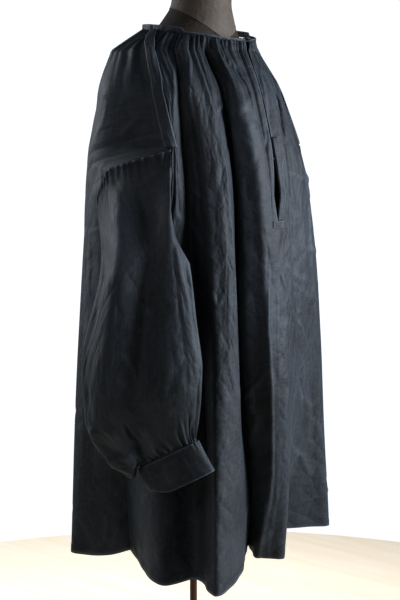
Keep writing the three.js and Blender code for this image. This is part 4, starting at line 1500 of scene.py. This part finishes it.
@dataclass
class Neckband:
    """The narrow binding on the gathered neck edge, lower in front than round the back."""

    shop: Workshop
    back_height: float = 11.0
    front_height: float = 5.0
    step_angle: float = 66.0
    step_blur: float = 1.5
    thickness: float = 3.0
    above_edge: float = 0.3
    puff: float = 0.5
    pucker: float = 0.3
    pucker_waves: Pair = (0.9, 0.37)

    def build(self) -> None:
        """Build the band and the thread loops at its open ends."""
        z = np.array([NECK_Z])
        left = front_half(np.linspace(SLIT_FOLD, LAST_FRONT_FOLD, 110), z, -1.0)[0]
        back = BACK.section(np.linspace(0, LAST_BACK_FOLD, 160), z)[0]
        right = front_half(np.linspace(0, SLIT_FOLD, 120), z, 1.0)[0]
        ring = np.concatenate([left, back[1:], right[1:]])
        from_front = np.degrees(np.arctan2(np.abs(ring[:, 0]), -ring[:, 1] - NECK_FORWARD))
        share = smoothstep(from_front, self.step_angle - self.step_blur, self.step_angle + self.step_blur)
        height = self.front_height + (self.back_height - self.front_height) * share
        levels = np.linspace(1, 0, 8)
        rows = np.repeat(ring[None], len(levels), axis=0)
        rows[..., 2] += self.above_edge + levels[:, None] * height[None, :]
        grid = ClothGrid(rows, levels, np.arange(len(ring), dtype=float))
        grid.normals[..., 2] = 0
        puff = np.sin(np.pi * np.clip(levels, 0.04, 0.96))[:, None]
        pucker = sum(np.sin(np.arange(len(ring)) * wave) * self.pucker for wave in self.pucker_waves)
        grid.lift += self.puff * puff + pucker[None, :] * (1 - levels[:, None])
        grid.worn_edges(1.5, ("top",))
        piece = self.shop.cloth_object("neckband_linen", [grid], LINEN, thickness=self.thickness)
        self.shop.seat(piece, "linen", "neckband")
        self.shop.declare(piece, [grid], "stretched", ["front_panel_linen", "back_panel_linen"])
        self.build_loops(grid.finished())

    def build_loops(self, rows: Array) -> None:
        """Build a small worked loop at each open end of the band.

        Args:
            rows: the band's rows of points, from its top to the gathered edge.
        """
        ends = {"right": rows[2, -1], "left": rows[2, 0]}
        for side, end in ends.items():
            sign = 1.0 if side == "right" else -1.0
            turns = np.linspace(0, 2 * np.pi, 26)
            loop = np.stack(
                [
                    end[0] + sign * 2.0 + 4.5 * np.cos(turns),
                    end[1] - 2.0 - 1.5 * np.sin(turns),
                    end[2] + 0.5 + 3.2 * np.sin(turns),
                ],
                axis=-1,
            )
            piece = tube_object(self.shop, f"neck_loop_{side}", [loop], 0.8, THREAD)
            self.shop.seat(piece, "linen")


THREAD_SIDES = 6


def tube_object(
    shop: Workshop, name: str, lines: Sequence[Array], radius: float, finish: WovenCloth
) -> Piece:
    """Make round threads along lines of points.

    Args:
        shop: the workshop that places and finishes it.
        name: the piece's name.
        lines: the lines in millimetres about the garment's axis.
        radius: the thread's radius in millimetres.
        finish: its cloth or thread finish.

    Returns:
        One object with all the threads.
    """
    sides = THREAD_SIDES
    vertices, faces = [], []
    for line in lines:
        tangent = np.gradient(line, axis=0)
        tangent /= np.maximum(np.linalg.norm(tangent, axis=1, keepdims=True), TINY)
        helper = np.where(np.abs(tangent[:, 2:3]) < 0.9, [[0.0, 0.0, 1.0]], [[1.0, 0.0, 0.0]])
        first = np.cross(tangent, helper)
        first /= np.linalg.norm(first, axis=1, keepdims=True)
        second = np.cross(tangent, first)
        turns = np.linspace(0, 2 * np.pi, sides, endpoint=False)
        ring = first[:, None] * np.cos(turns)[None, :, None] + second[:, None] * np.sin(turns)[None, :, None]
        start = len(vertices)
        vertices.extend(shop.placed(line[:, None] + radius * ring).tolist())
        for i in range(len(line) - 1):
            for k in range(sides):
                a, b = start + i * sides + k, start + i * sides + (k + 1) % sides
                faces.append((a, b, b + sides, a + sides))
        last = start + (len(line) - 1) * sides
        faces.append(tuple(range(start + sides - 1, start - 1, -1)))
        faces.append(tuple(range(last, last + sides)))
    mesh = bpy.data.meshes.new(name)
    mesh.from_pydata(vertices, [], faces)
    layer = mesh.uv_layers.new(name="flat_cloth")
    place = np.array(vertices)[[v for face in faces for v in face]]
    layer.data.foreach_set("uv", place[:, [0, 2]].ravel())
    mesh.polygons.foreach_set("use_smooth", np.ones(len(mesh.polygons), bool))
    mesh.update()
    return shop.new_piece(name, mesh, finish)


@dataclass(frozen=True)
class SleevePose:
    """Where a sleeve hangs: mirrored or not, turned in degrees, and moved back and out.

    seed_step keeps the small creases of the two sleeves apart.
    """

    side: str
    mirror: float
    turn: float
    back: float
    out: float
    seed_step: int

    @property
    def outward(self) -> float:
        """Which way round the sleeve's normals face out."""
        return -self.mirror


RIGHT_SLEEVE = SleevePose("right", 1.0, 20.0, 0.0, 0.0, 0)
LEFT_SLEEVE = SleevePose("left", -1.0, 4.0, 146.0, 46.0, 5)


@dataclass(frozen=True)
class CuffCut:
    """The cuff's place before it is moved with its sleeve, and its sizes in millimetres."""

    out: float = 219.0
    forward: float = 128.0
    z: float = 733.0
    half_length: float = 63.0
    half_width: float = 19.0
    lean: float = 28.0
    open_angle: float = 9.0
    height: float = 60.0
    flare: float = 2.0
    belly: float = 4.0
    rounding: float = 0.26
    thickness: float = 1.8
    puckers: int = 60
    pucker_height: float = 1.1
    pucker_length: float = 11.0
    stitch_inset: float = 3.0
    stitch_depth: float = 0.35


CUFF = CuffCut()


@dataclass(frozen=True)
class SleeveShares:
    """Where things change on a sleeve, as shares round it (round) or down it (down)."""

    head_rows_end_down: float = 0.12
    cuff_rows_start_down: float = 0.76
    hangs_free_down: float = 0.34
    closes_down: Pair = (0.79, 0.94)
    flat_at_cuff_down: Pair = (0.942, 0.956)
    seam_round: Pair = (0.02, 0.98)
    beside_body_round: tuple[float, float, float, float] = (0.44, 0.50, 0.86, 0.93)
    under_arm_round: tuple[float, float, float] = (0.84, 0.88, 0.985)
    under_arm_down: Pair = (0.22, 0.34)
    clearance_down: float = 0.05


SHARES = SleeveShares()


@dataclass
class SleeveWithCuff:
    """One full sleeve, gathered a little at its dropped head and closely into its cuff.

    body_clearance is how far its inner side is held back from the body panels.
    """

    shop: Workshop
    pose: SleevePose
    columns: int = 300
    head_rows: int = 34
    middle_rows: int = 176
    cuff_rows: int = 61
    head_lift: float = 3.4
    first_angle: float = 30.0
    droop: float = 60.0
    drop_height: float = 220.0
    body_clearance: float = 2.0
    cuff_lap: float = 4.0
    inset: float = 3.2
    cuff_radius: float = 46.0
    inside_cuff: float = 8.0
    lift_in_cuff: float = 0.12
    head_wear: float = 0.35
    head_gathers: Gathers = Gathers(7.0, 0.5, 2.0, 60, 71)
    cuff_gathers: Gathers = Gathers(5.6, 0.5, 3.4, 80, 72)
    sleeve: ClothGrid | None = None
    cuff: ClothGrid | None = None

    def oval(self, z: Array) -> tuple[Array, Array, Array, Array]:
        """Return the sleeve's level ovals.

        Args:
            z: heights, of any shape.

        Returns:
            Their middles, the front direction, the side direction and their two half sizes.
        """
        heights = [row.z for row in SLEEVE_OVALS]
        out, forward, half_length, half_width = (
            smooth_values(heights, [getattr(row, key) for row in SLEEVE_OVALS], z)
            for key in ("out", "forward", "half_length", "half_width")
        )
        drop = smoothstep(SHOULDER_END_Z - z, 0, self.drop_height)
        out, forward = out + self.pose.out * drop, forward - self.pose.back * drop
        middle = np.stack([-self.pose.mirror * out, -forward, z], axis=-1)
        turn, mirror = math.radians(self.pose.turn), self.pose.mirror
        front = np.array([mirror * math.sin(turn), -math.cos(turn), 0.0])
        side = np.array([-mirror * math.cos(turn), -math.sin(turn), 0.0])
        return middle, front, side, np.stack([half_length, half_width], axis=-1)

    def cuff_axes(self) -> tuple[Array, Array, Array, Array]:
        """Return the cuff's middle and its front, side and down directions."""
        _, front, side, _ = self.oval(np.array([CUFF.z]))
        lean = math.radians(CUFF.lean)
        up = np.array([0.0, 0.0, 1.0])
        middle = np.array(
            [-self.pose.mirror * (CUFF.out + self.pose.out), -CUFF.forward + self.pose.back, CUFF.z]
        )
        tilted = front * math.cos(lean) + up * math.sin(lean)
        return middle, tilted, side, front * math.sin(lean) - up * math.cos(lean)

    def armhole(self) -> Array:
        """Return the armhole edge: down the back to the underarm and up again in front."""
        z = np.linspace(SHOULDER_END_Z, UNDERARM_Z, 60)
        right = self.pose.side == "right"
        back = BACK.fold_points(len(BACK.folds) - 1 if right else 0, z)
        front = FRONT.fold_points(0 if right else len(FRONT.folds) - 1, z)[::-1]
        return np.concatenate([back, front[1:]])

    def surface(self, v: Array, share: Array) -> Array:
        """Return the smooth sleeve, from its armhole edge to the inside of its cuff.

        Args:
            v: shares down it.
            share: shares round it, from its front corner.

        Returns:
            Points of shape (len(v), len(share), 3).
        """
        edge_line = self.armhole()
        total = lengths_along(edge_line)[-1]
        edge = point_along(edge_line, share * total)
        outward = edge * [1, 1, 0]
        edge = edge + outward / np.linalg.norm(outward, axis=1, keepdims=True) * self.head_lift
        angle = math.radians(self.first_angle) + share * 2 * np.pi
        middle, front, side, down = self.cuff_axes()
        long, wide = CUFF.half_length - self.inset, CUFF.half_width - self.inset
        cuff_top = middle + np.outer(long * np.cos(angle), front) + np.outer(wide * np.sin(angle), side)
        droop = self.droop * np.maximum(0, -np.cos(angle)) ** 2
        z = edge[None, :, 2] + (cuff_top[:, 2] - droop - edge[:, 2])[None, :] * v[:, None]
        centre, front_level, side_level, sizes = self.oval(z)
        hanging = (
            centre
            + (sizes[..., 0] * np.cos(angle))[..., None] * front_level
            + (sizes[..., 1] * np.sin(angle))[..., None] * side_level
        )
        blend = smoothstep(v, 0, SHARES.hangs_free_down)[:, None, None]
        points = edge[None] * (1 - blend) + hanging * blend
        points[..., 2] = z
        lift = (1 - v) * ((self.cuff_lap + 3) / 0.06) - self.cuff_lap
        end = cuff_top[None] - lift[:, None, None] * down
        close = smoothstep(v, *SHARES.closes_down)[:, None, None]
        return points * (1 - close) + end * close

    def row_shares(self) -> Array:
        """Return the rows' shares down the sleeve, closer together at its head and its cuff."""
        head_end, cuff_start = SHARES.head_rows_end_down, SHARES.cuff_rows_start_down
        head = np.linspace(0, head_end, self.head_rows)
        middle = np.linspace(head_end, cuff_start, self.middle_rows)
        cuff = np.linspace(cuff_start, 1, self.cuff_rows)
        return np.concatenate([head[:-1], middle, cuff[1:]])

    def add_gathers(self, grid: ClothGrid, length: Array, seam_fade: Array) -> None:
        """Gather the sleeve at its head and at its cuff.

        Args:
            grid: the sleeve's grid.
            length: how far down the sleeve each point is, in millimetres.
            seam_fade: 1 for each column, falling to 0 at the underarm seam.
        """
        share, spread = grid.columns, np.ones(length.shape)
        around_head = share * lengths_along(self.armhole())[-1]
        head = replace(self.head_gathers, seed=self.head_gathers.seed + self.pose.seed_step)
        grid.lift += head.height(around_head, length, spread) * seam_fade
        around_cuff = share * 2 * np.pi * self.cuff_radius
        from_cuff = np.maximum(0, length[-1:] - length - self.inside_cuff)
        gathers = replace(self.cuff_gathers, seed=self.cuff_gathers.seed + self.pose.seed_step)
        inside = 0.75 + 0.25 * smoothstep(from_cuff, 0, 6)
        grid.lift += gathers.height(around_cuff, from_cuff, spread) * inside * seam_fade

    def hold_back(self, grid: ClothGrid, keep: Array) -> None:
        """Hold the sleeve's inner side away from the body panels.

        Args:
            grid: the sleeve's grid, with its gathers and creases.
            keep: 1 for each row, falling to 0 inside the cuff.
        """
        share, v = grid.columns, grid.rows
        begins, full, fades, ends = SHARES.beside_body_round
        beside_body = smoothstep(share, begins, full) * (1 - smoothstep(share, fades, ends))
        begins, full, fades = SHARES.under_arm_round
        under_arm = smoothstep(share, begins, full) * (1 - smoothstep(share, fades, 1))
        high_up = (1 - smoothstep(v, *SHARES.under_arm_down))[:, None]
        held_back = np.maximum(beside_body[None, :], under_arm[None, :] * high_up)
        away = self.body_clearance * keep * smoothstep(v, 0, SHARES.clearance_down)[:, None]
        grid.lift -= held_back * (np.maximum(grid.lift, 0) + away)

    def build(self) -> None:
        """Build the sleeve and its cuff."""
        v, share = self.row_shares(), np.linspace(0, 1, self.columns)
        outward, seed = self.pose.outward, self.pose.seed_step
        points = self.surface(v, share)
        points[:, -1] = points[:, 0]
        grid = ClothGrid(points, v, share, outward=outward, widest_row=len(v) // 2, wraps=True)
        grid.normals[:, 0] = grid.normals[:, -1] = (grid.normals[:, 1] + grid.normals[:, -2]) / 2
        length = np.stack([lengths_along(grid.points[:, j]) for j in range(len(share))], axis=1)
        after, before = SHARES.seam_round
        seam_fade = (smoothstep(share, 0, after) * (1 - smoothstep(share, before, 1)))[None, :]
        self.add_gathers(grid, length, seam_fade)
        for crease in SLEEVE_CREASES:
            grid.add_crease(crease)
        keep = (1 - smoothstep(v, *SHARES.flat_at_cuff_down))[:, None]
        grid.scatter(40, 120, 81 + seed, steep=0.4, deepest=1.0)
        grid.add_ripples(1.0, 60, 420, 82 + seed)
        at_seam = np.where(seam_fade < 1, 0.4 + 0.6 * seam_fade, 1)
        grid.lift *= np.maximum(keep, self.lift_in_cuff) * at_seam
        self.hold_back(grid, keep)
        grid.lift[:, -1] = grid.lift[:, 0]
        grid.wear += self.head_wear * np.exp(-((length / 2.0) ** 2))
        self.sleeve = grid
        side = self.pose.side
        piece = self.shop.cloth_object(f"sleeve_{side}_linen", [grid], LINEN, rim_only=True, weld=True)
        self.shop.seat(piece, "linen", f"sleeve_{side}")
        self.shop.declare(piece, [grid], "gathered", ["front_panel_linen", "back_panel_linen"])
        self.build_cuff()

    def build_cuff(self) -> None:
        """Build the cuff, open at its front end."""
        outward, seed = self.pose.outward, self.pose.seed_step
        middle, front, side, down = self.cuff_axes()
        opening = math.radians(CUFF.open_angle / 2)
        angle = np.linspace(opening, 2 * np.pi - opening, 180)
        levels = np.linspace(0, CUFF.height, 26)
        wider = CUFF.flare * levels / CUFF.height
        back_end = smoothstep(-np.cos(angle), 0.25, 1.0)
        belly = CUFF.belly * np.sin(np.pi * levels / CUFF.height)
        long = CUFF.half_length + wider[:, None] + belly[:, None] * back_end
        wide = CUFF.half_width + wider[:, None] + 0 * long
        depth = levels[:, None] * (1 - CUFF.rounding * back_end)
        points = (
            middle
            + (long * np.cos(angle))[..., None] * front
            + (wide * np.sin(angle))[..., None] * side
            + depth[..., None] * down
        )
        grid = ClothGrid(points, levels, np.degrees(angle), outward=outward)
        rng = np.random.default_rng(91 + seed)
        pucker = np.zeros(len(angle))
        for _ in range(CUFF.puckers):
            centre, width = rng.uniform(0, 2 * np.pi), rng.uniform(0.03, 0.07)
            height = rng.uniform(-CUFF.pucker_height, CUFF.pucker_height)
            pucker += height * np.exp(-(((angle - centre) / width) ** 2))
        grid.lift += pucker[None, :] * np.exp(-((levels / CUFF.pucker_length) ** 2))[:, None]
        for crease in CUFF_CREASES:
            grid.add_crease(crease)
        for line in (CUFF.stitch_inset, CUFF.height - CUFF.stitch_inset):
            grid.lift -= CUFF.stitch_depth * np.exp(-((levels - line) ** 2))[:, None]
        grid.add_ripples(0.5, 60, 60, 92 + seed)
        grid.worn_edges(1.6, ("top", "bottom", "start", "end"))
        self.cuff = grid
        name = f"cuff_{self.pose.side}"
        piece = self.shop.cloth_object(f"{name}_linen", [grid], LINEN, thickness=CUFF.thickness)
        self.shop.seat(piece, "linen", name)
        self.shop.declare(piece, [grid], "laid", [f"sleeve_{self.pose.side}_linen"])


@dataclass
class Darn:
    """A small old repair on the right front, worked in close upright and level threads."""

    shop: Workshop
    panels: BodyPanels
    folds: Pair = (1.32, 1.74)
    heights: Pair = (618.0, 552.0)
    threads: int = 9
    crossings: int = 5
    crossing_gap: float = 11.0
    samples: int = 14
    radius: float = 0.45
    above: float = 1.0

    def build(self) -> None:
        """Build the threads on the right half of the front."""
        grid = self.panels.front[0]
        finished = ClothGrid(grid.finished(), grid.rows, grid.columns)
        rng = np.random.default_rng(101)
        lines = []
        for k in range(self.threads):
            share = (k + 0.5) / self.threads
            across = self.folds[0] + (self.folds[1] - self.folds[0]) * share
            top = self.heights[0] - rng.uniform(0, 12)
            bottom = self.heights[1] + rng.uniform(0, 14)
            z = np.linspace(top, bottom, self.samples)
            lines.append(finished.at(np.full(self.samples, across + rng.uniform(-0.01, 0.01)), z))
        for k in range(self.crossings):
            z = self.heights[0] - 10 - k * self.crossing_gap + rng.uniform(-2, 2)
            across = np.linspace(self.folds[0] + 0.04, self.folds[1] - 0.04, self.samples)
            lines.append(finished.at(across, np.full(self.samples, z)))
        lifted = [line + self.above * self.outward(line) for line in lines]
        piece = tube_object(self.shop, "darn_threads", lifted, self.radius, THREAD)
        self.shop.seat(piece, "linen")

    def outward(self, line: Array) -> Array:
        """Return level unit directions away from the garment's axis."""
        level = line * [1, 1, 0]
        return level / np.linalg.norm(level, axis=1, keepdims=True)


@dataclass
class Stitching:
    """Running and back stitches along the seams, hem, strips, placket and cuffs."""

    shop: Workshop
    length: float = 2.6
    gap: float = 1.6
    radius: float = 0.35
    lines: list[Array] = field(default_factory=list)

    def add_line(self, line: Array, normals: Array, above: float = 0.75) -> None:
        """Lay a row of stitches along a line of the cloth.

        Args:
            line: points along the line.
            normals: the cloth's normals there.
            above: how high the thread's middle lies above them, in millimetres.
        """
        raised = line + normals * above
        total = float(lengths_along(raised)[-1])
        count = max(int(total // (self.length + self.gap)), 1)
        starts = np.arange(count) * total / count
        for start in starts:
            spots = start + np.linspace(0, self.length, 3)
            stitch = point_along(raised, spots)
            self.lines.append(stitch)

    def add_row(self, grid: ClothGrid, index: int, above: float = 0.75, skip: int = 0) -> None:
        """Stitch along one grid row."""
        end = grid.points.shape[1] - skip
        self.add_line(grid.finished()[index, skip:end], grid.normals[index, skip:end], above)

    def add_column(self, grid: ClothGrid, index: int, above: float = 0.75, rows: slice = slice(None)) -> None:
        """Stitch along one grid column."""
        self.add_line(grid.finished()[rows, index], grid.normals[rows, index], above)

    def build(self) -> None:
        """Build all the stitches as one piece."""
        piece = tube_object(self.shop, "seam_stitches", self.lines, self.radius, THREAD)
        self.shop.seat(piece, "linen")


@dataclass
class DressForm:
    """The limbless form in its knitted cover, with a smoother cover over the neck."""

    shop: Workshop
    columns: int = 128
    rows: int = 200
    seam_z: float = 1500.0
    seam_slope: float = 0.40
    seam_rise: float = 0.48
    seam_lap: float = 2.0
    seam_gap: float = 4.0
    neck_rows: int = 60
    cap_shares: tuple[float, ...] = (0.02, 0.35, 0.7, 0.9, 0.97)
    cap_rise: float = 0.6
    sunk: float = 0.9

    def surface(self, z: Array, angle: Array) -> Array:
        """Return the form's surface.

        Args:
            z: heights of shape (rows, columns).
            angle: the columns' angles in radians.

        Returns:
            Points of shape (rows, columns, 3).
        """
        heights = [row.z for row in FORM_OVALS]
        wide, deep, forward = (
            smooth_values(heights, [getattr(row, key) for row in FORM_OVALS], z.ravel()).reshape(z.shape)
            for key in ("half_wide", "half_deep", "forward")
        )
        return np.stack([wide * np.cos(angle), deep * np.sin(angle) - forward, z], axis=-1)

    def seam(self, angle: Array) -> Array:
        """Find the neck cover's lower edge, which dips in front."""
        z = np.full((1, len(angle)), self.seam_z)
        for _ in range(8):
            points = self.surface(z, angle)
            z = self.seam_z + self.seam_slope * points[..., 1] + self.seam_rise * np.abs(points[..., 0])
        return z[0]

    def build(self) -> None:
        """Build the cover, and the neck cover that laps over it at the seam."""
        top, bottom = FORM_OVALS[0].z - self.cap_rise, FORM_OVALS[-1].z + self.cap_rise
        angle = np.linspace(0, 2 * np.pi, self.columns)
        seam = self.seam(angle)
        neck_share = np.linspace(0, 1, self.neck_rows)[:, None]
        body_share = np.linspace(0, 1, self.rows)[:, None]
        neck = self.surface(top + (seam - self.seam_lap - top) * neck_share, angle)
        below = seam + self.seam_gap
        body = self.surface(below + (bottom - seam - self.seam_gap) * body_share, angle)
        neck = np.concatenate([self.cap(neck[0], from_middle=True), neck])
        body = np.concatenate([body, self.cap(body[-1], from_middle=False)])
        for name, points, finish, sunk in (
            ("dress_form_cover", body, FORM_COVER, self.sunk),
            ("dress_form_neck_cover", neck, NECK_COVER, 0.0),
        ):
            points[:, -1] = points[:, 0]
            grid = ClothGrid(points, np.arange(len(points), dtype=float), angle, widest_row=len(points) // 3)
            grid.normals[:, 0] = grid.normals[:, -1] = (grid.normals[:, 1] + grid.normals[:, -2]) / 2
            grid.lift -= sunk
            piece = self.shop.cloth_object(name, [grid], finish, thickness=0, weld=True)
            self.shop.seat(piece, "form_cover", "dress_form")

    def cap(self, ring: Array, from_middle: bool) -> Array:
        """Return rings that close an end of the form.

        Args:
            ring: the last ring of points.
            from_middle: runs from the middle out, for the top, or else from the edge in.

        Returns:
            Rings of shape (rings, columns, 3), slightly domed.
        """
        middle = ring.mean(axis=0)
        shares = np.array(self.cap_shares if from_middle else self.cap_shares[::-1])
        rings = middle + (ring - middle) * shares[:, None, None]
        rise = self.cap_rise if from_middle else -self.cap_rise
        rings[..., 2] += rise * np.sqrt(np.maximum(0, 1 - shares**2))[:, None]
        return rings


@dataclass
class Stand:
    """The thin pole with its collars, and the round weighted base."""

    shop: Workshop
    pole_radius: float = 7.0
    base_radius: float = 170.0
    base_height: float = 20.0
    rim: float = 6.0
    foot: float = 2.0
    socket_radius: float = 60.0
    pole_segments: int = 48
    base_segments: int = 128

    def lathe(
        self, name: str, profile: Sequence[Pair], segments: int, finish: BrushPaintedMetal
    ) -> Piece:
        """Turn a profile round the pole's axis.

        Args:
            name: the piece's name.
            profile: (radius, z) points in millimetres.
            segments: how many flat sides the turned piece has.
            finish: its paint.

        Returns:
            The new object.
        """
        turns = np.linspace(0, 2 * np.pi, segments, endpoint=False)
        work = bmesh.new()
        rings = []
        for radius, z in profile:
            ring = np.stack([radius * np.cos(turns), radius * np.sin(turns), z + 0 * turns], axis=-1)
            rings.append([work.verts.new(p) for p in self.shop.placed(ring)])
        for low, high in zip(rings, rings[1:]):
            for k in range(segments):
                work.faces.new((low[k], low[(k + 1) % segments], high[(k + 1) % segments], high[k]))
        work.faces.new(list(reversed(rings[0])))
        work.faces.new(rings[-1])
        mesh = bpy.data.meshes.new(name)
        for face in work.faces:
            face.smooth = len(face.verts) == 4
        work.to_mesh(mesh)
        work.free()
        return self.shop.new_piece(name, mesh, finish)

    def build(self) -> None:
        """Build the pole and the base."""
        top = FORM_OVALS[-1].z - 0.3
        collar = self.pole_radius + 5
        pole_profile = (
            (self.pole_radius, self.base_height + 0.3),
            (self.pole_radius, top - 26),
            (collar - 1, top - 24),
            (collar, top - 22),
            (collar, top - 2),
            (collar - 1, top),
        )
        pole = self.lathe("stand_pole_tube", pole_profile, self.pole_segments, POLE_PAINT)
        self.shop.seat(pole, "pole_metal", "stand_pole")
        radius, height = self.base_radius, self.base_height
        arc = [
            (radius - self.rim * (1 - math.cos(a)), height - self.rim * (1 - math.sin(a)))
            for a in np.linspace(0, math.pi / 2, 9)
        ]
        base_profile = (
            (radius - self.foot, 0.0),
            (radius, self.foot),
            *arc,
            (self.socket_radius, height),
        )
        base = self.lathe("stand_base_disc", base_profile, self.base_segments, BASE_PAINT)
        self.shop.seat(base, "pole_metal", "stand_base")


@dataclass(frozen=True)
class SoftLight:
    """A square soft light.

    Its place is in metres from the origin: to the camera's right, away from the camera and up.
    """

    name: str
    right: float
    forward: float
    up: float
    size: float
    watts: float
    colour: str


SOFT_LIGHTS = (
    SoftLight("window_light", 2.6, -0.65, 1.55, 1.2, 70.0, "#edf3fc"),
    SoftLight("fill_light", -1.5, -1.9, 2.3, 1.6, 9.0, "#f4f8ff"),
    SoftLight("side_window_light", -2.2, 1.1, 1.9, 1.6, 20.0, "#f4f8ff"),
)


@dataclass
class Studio:
    """Pale floor, soft lights and the camera at the photograph's viewing angle.

    The camera's distance, sideways shift and height are in metres, and its pitch in degrees down.
    The world is brighter to the camera (wall_level) than as a light (room_level).
    """

    shop: Workshop
    distance: float = 2.55
    sideways: float = 0.013
    camera_z: float = 1.33
    pitch: float = 7.93
    focal_pixels: float = 1330.0
    floor_radius: float = 1.6
    wall_level: float = 1.1
    room_level: float = 0.08
    wall_colour: str = "#f6faff"
    gamma: float = 0.82
    sensor_mm: float = 24.0
    light_spread: float = 75.0
    aim_z: float = 1.0
    forward: Vector = Vector((0.766, 0.643, 0.0))
    right: Vector = Vector((0.643, -0.766, 0.0))

    def build_camera(self) -> None:
        """Build the camera, level apart from its pitch."""
        data = bpy.data.cameras.new("photo_camera")
        data.sensor_fit = "VERTICAL"
        data.sensor_height = self.sensor_mm
        data.lens = data.sensor_height * self.focal_pixels / FRAME_PIXELS[1]
        camera = bpy.data.objects.new("photo_camera", data)
        bpy.context.collection.objects.link(camera)
        foot = Vector((self.shop.axis.x, self.shop.axis.y, 0.0))
        up = Vector((0, 0, 1))
        standing = foot + self.right * self.sideways - self.forward * self.distance
        camera.location = standing + up * self.camera_z
        tilt = math.radians(self.pitch)
        look = self.forward * math.cos(tilt) - up * math.sin(tilt)
        camera.rotation_mode = "QUATERNION"
        camera.rotation_quaternion = look.to_track_quat("-Z", "Y")
        bpy.context.scene.camera = camera

    def build_light(self, soft: SoftLight) -> None:
        """Build one soft light, aimed at the smock's waist.

        Args:
            soft: its place, size, strength and colour.
        """
        data = bpy.data.lights.new(soft.name, "AREA")
        data.size = soft.size
        data.energy = soft.watts
        data.spread = math.radians(self.light_spread)
        data.color = hex_linear(soft.colour)[:3]
        light = bpy.data.objects.new(soft.name, data)
        bpy.context.collection.objects.link(light)
        place = self.right * soft.right + self.forward * soft.forward + Vector((0, 0, soft.up))
        aim = Vector((self.shop.axis.x, self.shop.axis.y, self.aim_z))
        light.location = place
        light.rotation_mode = "QUATERNION"
        light.rotation_quaternion = (aim - place).to_track_quat("-Z", "Y")

    def build_floor(self) -> None:
        """Build the round floor."""
        mesh = bpy.data.meshes.new("studio_floor")
        turns = np.linspace(0, 2 * np.pi, 180, endpoint=False)
        edge = [(self.floor_radius * math.cos(a), self.floor_radius * math.sin(a), 0.0) for a in turns]
        mesh.from_pydata(edge, [], [tuple(range(len(edge)))])
        self.shop.new_piece("studio_floor", mesh, LimedBoards())

    def build_world(self) -> None:
        """Build the pale wall that the camera sees and the dim light of the room."""
        world = bpy.data.worlds.new("studio_world")
        bpy.context.scene.world = world
        world.use_nodes = True
        world.node_tree.nodes.clear()
        seen = add_node(world.node_tree, "ShaderNodeLightPath").outputs["Is Camera Ray"]
        level = add_node(
            world.node_tree,
            "ShaderNodeMapRange",
            {"in:To Min": self.room_level, "in:To Max": self.wall_level},
            {"Value": seen},
        )
        glow = add_node(
            world.node_tree,
            "ShaderNodeBackground",
            {"in:Color": hex_linear(self.wall_colour)},
            {"Strength": level.outputs[0]},
        )
        add_node(world.node_tree, "ShaderNodeOutputWorld", links={"Surface": glow.outputs[0]})

    def build(self) -> None:
        """Build the floor, the world, the lights and the camera, and set the tone curve."""
        self.build_floor()
        self.build_world()
        bpy.context.scene.view_settings.view_transform = "Standard"
        bpy.context.scene.view_settings.gamma = self.gamma
        for soft in SOFT_LIGHTS:
            self.build_light(soft)
        self.build_camera()


ON_STRIPS = 0.8  # height of the stitches above the strips, the placket and the sleeve heads
ON_CUFFS = 1.1  # the same above the cuffs, whose cloth is thicker


def stitch_garment(
    shop: Workshop,
    panels: BodyPanels,
    strips: ShoulderStrips,
    placket: Placket,
    sleeves: Sequence[SleeveWithCuff],
) -> None:
    """Sew every row of stitches that shows.

    Args:
        shop: the workshop.
        panels: the front and the back, stitched along the hem.
        strips: the shoulder strips, stitched along both edges.
        placket: the strip and its bar, stitched along both edges.
        sleeves: the sleeves, stitched at the head and round the cuffs.
    """
    sewing = Stitching(shop)
    for grid in (*panels.front, panels.back):
        sewing.add_row(grid, int(np.argmin(np.abs(grid.rows - (HEM_Z + HEM_TURN)))))
    strip, bar = placket.grids
    for grid in strips.grids.values():
        for column in (2, -3):
            sewing.add_column(grid, column, ON_STRIPS)
    for column in (1, -2):
        sewing.add_column(strip, column, ON_STRIPS)
    for row in (2, -3):
        sewing.add_row(bar, row, ON_STRIPS)
    for sleeve in sleeves:
        sewing.add_row(sleeve.sleeve, 4, ON_STRIPS)
        for row in (1, -2):
            sewing.add_row(sleeve.cuff, row, ON_CUFFS, skip=2)
        for column in (2, -3):
            sewing.add_column(sleeve.cuff, column, ON_CUFFS)
    sewing.build()


def main() -> None:
    """Build the stand, the form, the smock and the studio in order."""
    logging.basicConfig(level=logging.INFO, format="%(message)s")
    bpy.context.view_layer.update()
    low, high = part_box("stand_pole")
    shop = Workshop(axis=(low + high) / 2)
    Stand(shop).build()
    DressForm(shop).build()
    panels = BodyPanels(shop)
    panels.build()
    strips = ShoulderStrips(shop)
    strips.build()
    placket = Placket(shop)
    placket.build()
    Neckband(shop).build()
    sleeves = [SleeveWithCuff(shop, RIGHT_SLEEVE), SleeveWithCuff(shop, LEFT_SLEEVE)]
    for sleeve in sleeves:
        sleeve.build()
    Darn(shop, panels).build()
    stitch_garment(shop, panels, strips, placket, sleeves)
    Studio(shop).build()


if __name__ == "__main__":
    main()
